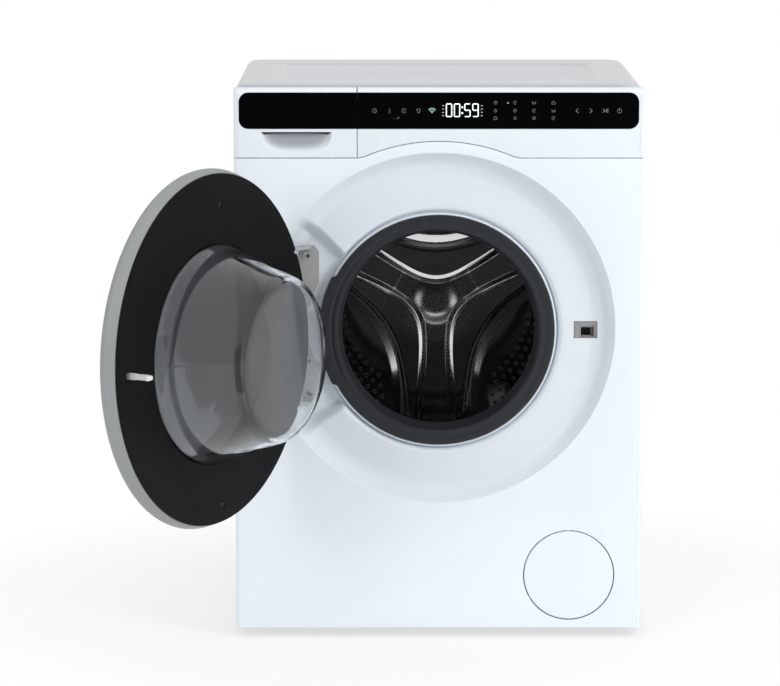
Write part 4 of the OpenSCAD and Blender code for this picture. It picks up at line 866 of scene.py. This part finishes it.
def wall_depth(x, z):
    """Depth of the drum's rear wall behind the front, at a point measured from the hub."""
    inner, outer = rib_lines(x, z)[:2]
    r = math.hypot(x, z)
    rib = eased(inner, -0.006, 0.0003)
    # Each rib is a flat-topped swell with bevelled shoulders, and a broad slope down to the lobe,
    # whose own edge lifts again.
    shoulder = 0.00085 * (1 - ramp(inner, 0.0003, 0.006)) + 0.0008 * ramp(outer, -0.005, 0.0)
    fall = ramp(outer, 0.0, 0.006)
    rise = (0.007 - shoulder) * rib * (1 - fall) - 0.003 * fall + 0.0018 * ramp(outer, 0.0062, 0.018)
    hub = 0.0021 * (1 - eased(r, 0.012, 0.0345)) - 0.0004 * (1 - eased(r, 0.054, 0.06))
    # The wall is dished towards its rim, except in the lobes.
    out = min(max(0.0, r - 0.045), 0.105)
    rise += hub * (1 - rib) + WALL_DISH * (out * out / 0.04 if out < 0.02 else out - 0.01) * (1 - fall)
    edge = eased(r, 0.192, 0.206)
    return WALL_REAR - rise * (1 - edge) + 0.0015 * edge


def wall_spot(r, a):
    """Point of the rear wall at a radius and an angle."""
    x, z = r * math.cos(a), r * math.sin(a)
    return x, FRONT_Y + wall_depth(x, z), DRUM_Z + z


def build_rear_wall(steel):
    verts = [wall_spot(0, 0)] + [wall_spot(0.0015 + 0.2115 * k / WALL_RINGS, math.tau * s / WALL_STEPS)
                                 for k in range(WALL_RINGS + 1) for s in range(WALL_STEPS)]
    faces = []
    for s in range(WALL_STEPS):
        t = (s + 1) % WALL_STEPS
        faces.append((0, 1 + t, 1 + s))
        faces += [(a + s, a + t, a + WALL_STEPS + t, a + WALL_STEPS + s)
                  for a in range(1, 1 + WALL_RINGS * WALL_STEPS, WALL_STEPS)]
    wall = piece("drum_back", (verts, faces), steel, "drum", ("drum_rear_wall",), sharp=75)
    thicken(wall, 0.001, 1)


def pierced_dimples(name, places, steel, hole_shade):
    """Raised rings round drilled holes, with a black disc of painted shade in each hole. A place is a point
    and its outward axis.
    """
    lathe = [(0.003, 0.0), (0.0028, 0.0003), (0.0024, 0.00055), (0.0019, 0.00055), (0.0016, 0.0003),
             (0.00155, 0.0001)]
    rings, holes = ([], []), ([], [])
    for place, axis in places:
        place, axis = Vector(place), Vector(axis).normalized()
        side = axis.orthogonal().normalized()
        other = axis.cross(side)
        spokes = [side * math.cos(a) + other * math.sin(a)
                  for a in (math.tau * s / DIMPLE_SIDES for s in range(DIMPLE_SIDES))]
        rings[1].extend(ring_faces(DIMPLE_SIDES, len(lathe), closed=False, first=len(rings[0])))
        rings[0].extend(place + out * r + axis * h for out in spokes for r, h in lathe)
        # The holes are not cut: each is a black disc, painted shade where the dark tub would show through.
        holes[1].append(tuple(range(len(holes[0]), len(holes[0]) + DIMPLE_SIDES)))
        holes[0].extend(place + out * HOLE_R + axis * 0.00012 for out in spokes)
    piece(name, rings, steel, "drum", sharp=70)
    piece(name + "_hole_shade", holes, hole_shade, "drum")


def turned_hub(material, dull, bright):
    """Duller gloss on the hub, where the sheet is turned, than on the rest of the wall."""
    tree = material.node_tree
    where = add(tree, "TexCoord").outputs["Object"]
    flat = add(tree, "VectorMath", {0: where, 1: (1, 0, 1), 2: (0, 0, -DRUM_Z)}, operation="MULTIPLY_ADD")
    reach = add(tree, "VectorMath", {0: flat.outputs["Vector"]}, operation="LENGTH")
    gloss = add(tree, "MapRange", {"Value": reach.outputs["Value"], "From Min": 0.034, "From Max": 0.062,
                                   "To Min": dull, "To Max": bright})
    tree.links.new(gloss.outputs["Result"], principled(material).inputs["Roughness"])


def dress(node, material, width=0.0, segments=2):
    """Give a carried-over solid its finish, and soften its edges."""
    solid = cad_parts[node]
    solid.data.materials.clear()
    solid.data.materials.append(material)
    if width:
        soften(solid, width, segments)


def build_drum():
    steel = finish("drum_mirror_steel", (0.78, 0.79, 0.8), 0.1, metal=1.0, grain=40, relief=0.0, tint=0.06,
                   spread=0.01)
    turned_hub(steel, 0.15, 0.1)
    shade = finish("drum_hole_shadow", (0.004, 0.004, 0.004), 0.8, grain=900)
    ring_steel = finish("drum_dimple_steel", (0.24, 0.245, 0.25), 0.4, metal=1.0, grain=900, relief=0.03,
                        spread=0.03)
    shell_steel = finish("drum_shell_steel", (0.22, 0.225, 0.23), 0.24, metal=1.0, grain=300, relief=0.01,
                         tint=0.06)
    lifter_grey = finish("lifter_polymer", (0.085, 0.088, 0.092), 0.38, grain=1200, relief=0.08, tint=0.1)
    build_rear_wall(steel)
    places = []
    for row, r in enumerate(WALL_HOLE_ROWS):
        pitch = WALL_HOLE_PITCH / r
        for a in ((k + 0.5 * (row % 2)) * pitch for k in range(int(math.tau / pitch))):
            if rib_lines(r * math.cos(a), r * math.sin(a))[2] > 0.014:
                places.append((wall_spot(r, a), (0, -1, 0)))
    pierced_dimples("drum_back_dimples", places, ring_steel, shade)
    # Shell: rolled sheet with soft ribs, folded over the front rim.
    depths = [DRUM_FRONT + (DRUM_REAR - DRUM_FRONT) * i / 120 for i in range(121)]
    inner = [(DRUM_R + 0.0003 * math.sin(math.tau * (d - DRUM_FRONT) / SHELL_WAVE), d) for d in depths]
    outer = [(DRUM_R + 0.0012, d) for d in reversed(depths)]
    rim = [(0.131, 0.074), (0.131, 0.0675), (0.1316, 0.0655), (0.133, 0.0646), (0.136, 0.0642),
           (0.15, 0.0648), (0.17, 0.0652), (0.195, 0.0648), (0.208, 0.0642), (0.213, 0.064),
           (0.215, 0.0645), (0.215, 0.066), (0.208, 0.0656), (0.195, 0.0662), (0.15, 0.0662),
           (0.1345, 0.066), (0.133, 0.0672), (0.133, 0.074)]
    for name, section, node in (("drum_skin", inner + outer, "drum_shell"),
                                ("drum_rim", rim, "drum_front_rim")):
        piece(name, spun(section, DRUM_Z, 0, 256), shell_steel, "drum", (node,), sharp=60)
    places = []
    for column in range(SHELL_COLUMNS):
        turn = 360 * (column + 0.5) / SHELL_COLUMNS
        if min(abs((turn - lifter + 180) % 360 - 180) for lifter in LIFTER_ANGLES) < 13:
            continue
        out = Vector((math.cos(math.radians(turn)), 0, math.sin(math.radians(turn))))
        for row in range(SHELL_ROWS):
            d = 0.086 + 0.0225 * row + (0.0112 if column % 2 else 0.0)
            places.append((out * (DRUM_R - 0.0002) + Vector((0, FRONT_Y + d, DRUM_Z)), -out))
    pierced_dimples("drum_skin_dimples", places, ring_steel, shade)
    dress("drum_lifters", lifter_grey, 0.0015, 3)


build_drum()

# Door.
# Dark outer cover, light ring round its edge, matt inner frame with its screws and a clear glass
# bowl. It is built closed and turned to where it stands open, about the pin on its left.
HINGE_X, HINGE_Y = -0.1893, -0.239
DOOR_SWING = math.radians(-119.9)
DOOR_BACK = HINGE_Y + 0.015
FRAME_STEPS = 256
BOWL_HOLE_R = 0.1343
EAR_OFFSET = 0.099
HOOK_Z = 0.386
DOOR_SCREWS = ((-0.012, 0.568), (-0.014, 0.202))
DOOR_DENTS = ((0.168, 0.404), (0.168, 0.36))
SCREW_ARMS = 16


def swung(shape):
    """Closed-door shape turned about the hinge pin to the open door."""
    c, s = math.cos(DOOR_SWING), math.sin(DOOR_SWING)
    verts = [(HINGE_X + (x - HINGE_X) * c - (y - HINGE_Y) * s,
              HINGE_Y + (x - HINGE_X) * s + (y - HINGE_Y) * c, z) for x, y, z in shape[0]]
    return verts, shape[1]


def from_hinge(section):
    """Section given from the hinge's plane, as depths behind the front."""
    return [(r, b + HINGE_Y - FRONT_Y) for r, b in section]


def turned(section, z, steps=192):
    """Open-door skin of a section given from the hinge's plane, turned at height z."""
    return swung(spun(from_hinge(section), z, 0, steps))


def clear_glass(name, tint):
    """Solid glass with a faint unevenness in its gloss and its surface."""
    material = finish(name, tint, 0.012, grain=60, relief=0.0, tint=0.01, spread=0.008)
    principled(material).inputs["Transmission Weight"].default_value = 1.0
    principled(material).inputs["IOR"].default_value = 1.5
    return material


def cross_screw(name, x, z, y, r, metal):
    """Pan-head screw of the door with a cross recess, its head towards the back."""
    def loop(radii, up):
        return [(x + reach * math.cos(math.tau * k / SCREW_ARMS), y + up,
                 z + reach * math.sin(math.tau * k / SCREW_ARMS)) for k, reach in enumerate(radii)]
    star = [r * (0.55, 0.36, 0.2, 0.36)[k % 4] for k in range(SCREW_ARMS)]
    rings = [loop([r * share] * SCREW_ARMS, up)
             for share, up in ((1, -0.0006), (1, 0.0), (0.92, 0.0005), (0.6, 0.0009))]
    verts, faces = lofted(rings + [loop(star, 0.0009), loop(star, -0.0004)])
    # The shank's end stays open inside the frame.
    del faces[-2]
    piece(name, swung((verts, faces)), metal, "door", sharp=40)


def door_slots():
    """Clearances in the door's left edge for the bracket's two ears."""
    return [swung(bar((-0.23, HINGE_Y - 0.0073, z - 0.0026),
                      (HINGE_X + 0.0063, HINGE_Y + 0.03, z + 0.0026)))
            for z in (DOOR_Z - EAR_OFFSET, DOOR_Z + EAR_OFFSET)]


def build_cover():
    smoke = clear_glass("door_cover_smoke", (0.044, 0.049, 0.054))
    ink = finish("door_cover_print", (0.008, 0.008, 0.009), 0.25, grain=800, relief=0.01, spread=0.02)
    outer = [(0.0, -0.0135), (0.06, -0.01335), (0.12, -0.0125), (0.165, -0.011), (0.19, -0.0096),
             (0.2055, -0.00835), (0.2082, -0.0079), (0.2088, -0.0072), (0.2088, -0.0055), (0.2084, -0.005),
             (0.207, -0.0051)]
    inner = [(0.19, -0.0066), (0.165, -0.008), (0.12, -0.0095), (0.06, -0.01035), (0.0, -0.0105)]
    piece("door_cover_glass", turned(smooth_path(outer, 3) + smooth_path(inner, 3), DOOR_Z), smoke, "door",
          ("door_cover",), sharp=50)
    # Black band printed round the clear middle.
    band = [(0.138, -0.00885), (0.165, -0.0078), (0.19, -0.0064), (0.207, -0.0049), (0.207, -0.0046),
            (0.19, -0.0061), (0.165, -0.0075), (0.138, -0.00855)]
    piece("door_cover_band", turned(band, DOOR_Z), ink, "door", sharp=50)


def build_ring():
    """Rolled outer edge, folded in behind the frame's rim."""
    metal = finish("door_ring_satin", (0.32, 0.33, 0.325), 0.45, metal=0.15, grain=1500, tint=0.05,
                   spread=0.03)
    skin = smooth_path([(0.2092, -0.0088), (0.212, -0.0083), (0.2145, -0.0074), (0.2164, -0.0058),
                        (0.2174, -0.0036), (0.2179, 0.0), (0.2168, 0.004), (0.2152, 0.0085),
                        (0.2138, 0.012), (0.2134, 0.0124)], 4)
    back = [(0.2108, 0.0124), (0.2126, 0.008), (0.2148, 0.0002), (0.2139, -0.003), (0.2092, -0.0062)]
    ring = piece("door_rim_ring", turned(skin + back, DOOR_Z, FRAME_STEPS), metal, "door",
                 ("door_ring",), sharp=50)
    cut_out(ring, door_slots())


def build_frame():
    """Flat disc with a rounded edge and a lip round the hole for the bowl."""
    matt = finish("door_frame_matt_black", (0.006, 0.006, 0.006), 0.62, grain=2600, relief=0.06,
                  tint=0.05, spread=0.03, mirror=0.1)
    steel = finish("door_screw_black", (0.05, 0.05, 0.05), 0.32, metal=0.8, grain=900, relief=0.03)
    disc = [(0.135, 0.0127), (0.21, 0.0126), (0.212, 0.0128), (0.2127, 0.0135), (0.2127, 0.0143),
            (0.2123, 0.0148), (0.2114, 0.015), (0.2, 0.015), (0.135, 0.015)]
    n = len(disc)
    verts, faces = spun(from_hinge(disc), DOOR_Z, 0, FRAME_STEPS, closed=False)
    # The hole is round about the drum's axis, which lies lower than the door's.
    for s, (x, z) in enumerate(ring_of(0, DRUM_Z, BOWL_HOLE_R, FRAME_STEPS)):
        verts[s * n] = (x, HINGE_Y + disc[0][1], z)
        verts[s * n + n - 1] = (x, HINGE_Y + disc[-1][1], z)
        t = (s + 1) % FRAME_STEPS
        faces.append((s * n, t * n, t * n + n - 1, s * n + n - 1))
    shape = swung((verts, faces))
    inner = piece("door_inner_frame", shape, matt, "door", ("door_frame",), sharp=40)
    holes = door_slots()
    for places, r, deep in ((DOOR_SCREWS, 0.0042, 0.0016), (DOOR_DENTS, 0.0035, 0.0005)):
        holes += [swung(prism(ring_of(x, z, r, 32), DOOR_BACK - deep, DOOR_BACK + 0.002)) for x, z in places]
    holes.append(swung(bar((0.1772, HINGE_Y + 0.01, HOOK_Z - 0.0045),
                           (0.1924, HINGE_Y + 0.018, HOOK_Z + 0.0045))))
    cut_out(inner, holes)
    for k, (x, z) in enumerate(DOOR_SCREWS):
        cross_screw("door_screw_%d" % k, x, z, DOOR_BACK - 0.0012, 0.0033, steel)
    seat = [(0.1403, 0.0087), (0.1438, 0.0087), (0.1438, 0.0124), (0.1403, 0.0124)]
    piece("door_bowl_seat", turned(seat, DRUM_Z), matt, "door", sharp=40)


def build_bowl():
    """Pressed glass with a thickened root and a rounded nose."""
    glass = clear_glass("door_bowl_clear", (0.96, 0.97, 0.97))
    out = [(0.1398, 0.0124), (0.1345, 0.0123), (0.134, 0.0132), (0.1337, 0.015), (0.1328, 0.0172),
           (0.1312, 0.02), (0.1292, 0.0235), (0.1274, 0.027), (0.1262, 0.03), (0.125, 0.038),
           (0.1228, 0.047), (0.1194, 0.056), (0.115, 0.0685), (0.1105, 0.08), (0.1063, 0.0925),
           (0.1024, 0.104), (0.1002, 0.1085), (0.0978, 0.112), (0.0943, 0.1148), (0.0898, 0.1164),
           (0.076, 0.1174), (0.06, 0.1179), (0.03, 0.11795), (0.0, 0.11795)]
    core = [(0.0, 0.1141), (0.03, 0.1141), (0.06, 0.114), (0.076, 0.1136), (0.0885, 0.1129),
            (0.0925, 0.1115), (0.0946, 0.1094), (0.0965, 0.1068), (0.0987, 0.1029), (0.1025, 0.0915),
            (0.1067, 0.079), (0.1112, 0.067), (0.1156, 0.055), (0.119, 0.046), (0.1211, 0.0375),
            (0.1223, 0.03), (0.1236, 0.0262), (0.1255, 0.0225), (0.1275, 0.019), (0.1292, 0.016),
            (0.1301, 0.0135), (0.1304, 0.0097), (0.1398, 0.0096)]
    shape = turned(smooth_path(out, 3) + smooth_path(core, 3), DRUM_Z, FRAME_STEPS)
    piece("door_glass_bowl", shape, glass, "door", ("door_glass",), sharp=50)


build_cover()
build_ring()
build_frame()
build_bowl()

# Door latch, lock and hinge.
# White sprung hook on the door, the lock's grey face with its ribbed lead-in in the recess, and
# the zinc-plated hinge bracket on the pocket floor, screwed on with cross-head screws.
LOCK_Y = FRONT_Y + DISH_DEPTH
LOCK_X0, LOCK_X1, LOCK_Z0, LOCK_Z1 = 0.17, 0.199, 0.379, 0.4
SLOT_X0, SLOT_X1, SLOT_Z0, SLOT_Z1 = 0.1787, 0.1949, 0.3818, 0.3922
LOCK_RIBS = 7
BRACKET_SCREW_X = -0.164
BRACKET_SCREWS = (-0.088, -0.045, 0.045, 0.088)
# Distance behind the hinge's plane, left and right side and half height of the hook.
HOOK_SECTIONS = (
    (0.0042, 0.183, 0.185, 0.0038), (0.0052, 0.1812, 0.1868, 0.0038), (0.008, 0.1802, 0.1878, 0.0038),
    (0.011, 0.1818, 0.1862, 0.0038), (0.0215, 0.182, 0.186, 0.0038), (0.0245, 0.182, 0.186, 0.0033),
    (0.0398, 0.182, 0.186, 0.0033), (0.04, 0.182, 0.1898, 0.0032), (0.0412, 0.182, 0.19, 0.0031),
    (0.0436, 0.1821, 0.1874, 0.0026), (0.0449, 0.1826, 0.1856, 0.0016))


def build_latch():
    white = finish("latch_acetal", (0.7, 0.7, 0.71), 0.34, grain=1400, relief=0.04, spread=0.03)
    loops = [[(x, HINGE_Y + b, HOOK_Z + z) for x, z in ((x0, -h), (x1, -h), (x1, h), (x0, h))]
             for b, x0, x1, h in HOOK_SECTIONS]
    shape = swung(lofted(loops))
    soften(piece("latch_hook", shape, white, "latch", ("door_latch",), sharp=25), 0.0004)


def build_lock():
    grey = finish("lock_grey_polymer", (0.27, 0.265, 0.275), 0.42, grain=1800, relief=0.05, tint=0.04,
                  spread=0.03)
    case_grey = finish("lock_case_polymer", (0.1, 0.1, 0.105), 0.5, grain=1500, relief=0.05)
    outline = round_loop(LOCK_X0, LOCK_X1, LOCK_Z0, LOCK_Z1, 0.0022, 5, lambda x, z: (x, z))
    shape = sheet_between([outline], DISH_DEPTH - 0.001, DISH_DEPTH + 0.006, 0.0005)
    face = piece("lock_face", shape, grey, "cabinet", ("door_lock",), sharp=35)
    cut_out(face, [bar((SLOT_X0, LOCK_Y - 0.004, 0.38), (SLOT_X1, LOCK_Y + 0.004, 0.3926)),
                   bar((SLOT_X0, LOCK_Y - 0.003, SLOT_Z0), (SLOT_X1, LOCK_Y + 0.0195, SLOT_Z1))])
    shape = bar((LOCK_X0 - 0.004, LOCK_Y + 0.0061, LOCK_Z0 - 0.012),
                (LOCK_X1 + 0.003, LOCK_Y + 0.024, LOCK_Z1 + 0.012))
    case = piece("lock_case", shape, case_grey, "cabinet", sharp=35)
    cut_out(case, [bar((0.1777, LOCK_Y - 0.003, SLOT_Z0), (SLOT_X1 + 0.0005, LOCK_Y + 0.0199, SLOT_Z1))])
    # Ribbed lead-in below the slot.
    pitch = (SLOT_X1 - SLOT_X0) / LOCK_RIBS
    verts = []
    for k in range(LOCK_RIBS):
        for part, lift in ((0.0, 0.0), (0.5, 0.0), (0.55, 0.0004), (0.95, 0.0004)):
            x = SLOT_X0 + pitch * (k + part)
            verts += [(x, LOCK_Y - 0.0006, 0.3802 + lift), (x, LOCK_Y + 0.019, SLOT_Z0 + lift)]
    faces = [(i, i + 2, i + 3, i + 1) for i in range(0, len(verts) - 2, 2)]
    ribs = piece("lock_ribs", (verts, faces), grey, "cabinet", sharp=30)
    thicken(ribs, 0.0004, -1)
    dress("lock_slider", case_grey, 0.0003)


def build_hinge():
    zinc = finish("hinge_zinc_satin", (0.46, 0.46, 0.45), 0.38, metal=0.35, grain=900, relief=0.04,
                  tint=0.06, spread=0.03)
    pin_steel = finish("hinge_pin_steel", (0.55, 0.55, 0.56), 0.22, metal=1.0, grain=1200)
    dress("hinge_bracket", zinc, 0.0008, 3)
    dress("hinge_pin", pin_steel, 0.0004)
    dress("hinge_arm", zinc, 0.0006)
    for name, z in (("bracket_pad_low", DOOR_Z - 0.088), ("bracket_pad_high", DOOR_Z + 0.088)):
        pad = round_loop(-0.1745, -0.1555, z - 0.0095, z + 0.0085, 0.005, 5, lambda x, z: (x, z))
        piece(name, sheet_between([pad], 0.0322, 0.0332, 0.0005), zinc, "cabinet", sharp=35)
    # Cross recesses in the four screw heads, painted as flat black crosses of shade.
    black = finish("screw_recess_shadow", (0.006, 0.006, 0.006), 0.7, grain=900)
    verts = [(BRACKET_SCREW_X + x, FRONT_Y + 0.0299, DOOR_Z + offset + z)
             for offset in BRACKET_SCREWS for half_x, half_z in ((0.0034, 0.0008), (0.0008, 0.0034))
             for x, z in ((-half_x, -half_z), (half_x, -half_z), (half_x, half_z), (-half_x, half_z))]
    faces = [(k, k + 1, k + 2, k + 3) for k in range(0, len(verts), 4)]
    piece("bracket_screw_recess_shade", (verts, faces), black, "cabinet")


build_latch()
build_lock()
build_hinge()

# Chassis and machinery.
# Zinc-coated sheet at the rear and inside, polypropylene tub, cast spider and pulley, concrete
# weights, rubber hoses, and the pump, motor, heater and feet. Each keeps its solid's shape.


def build_machinery():
    zinc = finish("zinc_sheet", (0.5, 0.51, 0.52), 0.4, metal=0.85, grain=45, relief=0.05, tint=0.14,
                  spread=0.07)
    rear_white = finish("rear_sheet_enamel", (0.66, 0.67, 0.68), 0.42, grain=1100, relief=0.05, tint=0.03)
    tub_grey = finish("tub_polypropylene", (0.46, 0.47, 0.47), 0.46, grain=500, relief=0.1, tint=0.06)
    tray_black = finish("base_polypropylene", (0.04, 0.041, 0.043), 0.55, relief=0.1, tint=0.1)
    rubber = finish("hose_rubber", (0.016, 0.016, 0.017), 0.62, grain=1500, relief=0.12, tint=0.12)
    foot_black = finish("foot_polymer", (0.022, 0.022, 0.023), 0.5, grain=1300, relief=0.1)
    cast = finish("cast_aluminium", (0.5, 0.5, 0.51), 0.48, metal=0.9, grain=240, relief=0.3, tint=0.08,
                  spread=0.06)
    steel = finish("turned_steel", (0.52, 0.52, 0.53), 0.26, metal=1.0, grain=1600, relief=0.03, tint=0.05,
                   stretch=(1, 1, 6))
    spring = finish("spring_steel", (0.2, 0.2, 0.21), 0.34, metal=0.9, grain=1300, relief=0.03)
    concrete = finish("cast_concrete", (0.3, 0.295, 0.285), 0.88, grain=130, relief=0.55, tint=0.22)
    motor_dark = finish("motor_black_paint", (0.03, 0.03, 0.032), 0.42, grain=900, relief=0.08)
    board = finish("circuit_board", (0.02, 0.085, 0.035), 0.36, grain=420, relief=0.05, tint=0.18)
    white = finish("drawer_polypropylene", (0.74, 0.75, 0.76), 0.34, grain=900, relief=0.04, spread=0.02)
    pale = finish("housing_polypropylene", (0.6, 0.61, 0.62), 0.42, grain=800, relief=0.06, tint=0.04)
    mid_grey = finish("cap_grey_polymer", (0.2, 0.205, 0.21), 0.45, grain=1100, relief=0.07, tint=0.06)
    for material, width, nodes in (
            (rear_white, 0.0005, ("rear_panel", "rear_cover")),
            (tray_black, 0.0008, ("base_tray",)),
            (zinc, 0.0003, ("front_crossbar", "rear_crossbar")),
            (mid_grey, 0.0005, ("dampers",)),
            (mid_grey, 0.0006, ("transit_caps", "inlet_valve")),
            (mid_grey, 0.0008, ("drain_pump",)),
            (foot_black, 0.0005, ("cord_gland",)),
            (foot_black, 0.0006, ("foot_front_left", "foot_front_right", "foot_rear_left",
                                  "foot_rear_right")),
            (steel, 0.0, ("seal_clamp", "heater")),
            (steel, 0.0003, ("foot_nuts", "motor_pulley")),
            (steel, 0.0004, ("bearings",)),
            (board, 0.0002, ("display_board",)),
            (white, 0.0006, ("detergent_tray",)),
            (white, 0.0003, ("pump_impeller",)),
            (white, 0.0005, ("pump_filter",)),
            (pale, 0.0006, ("drawer_housing",)),
            (rubber, 0.0, ("inlet_hose", "dispenser_hose", "shaft_seal", "drive_belt", "drain_hose")),
            (tub_grey, 0.0006, ("tub_front", "tub_rear")),
            (cast, 0.0008, ("drum_spider",)),
            (cast, 0.0005, ("drum_pulley",)),
            (motor_dark, 0.0008, ("motor",)),
            (spring, 0.0, ("suspension_springs",)),
            (concrete, 0.002, ("counterweights",))):
        for node in nodes:
            dress(node, material, width)


build_machinery()
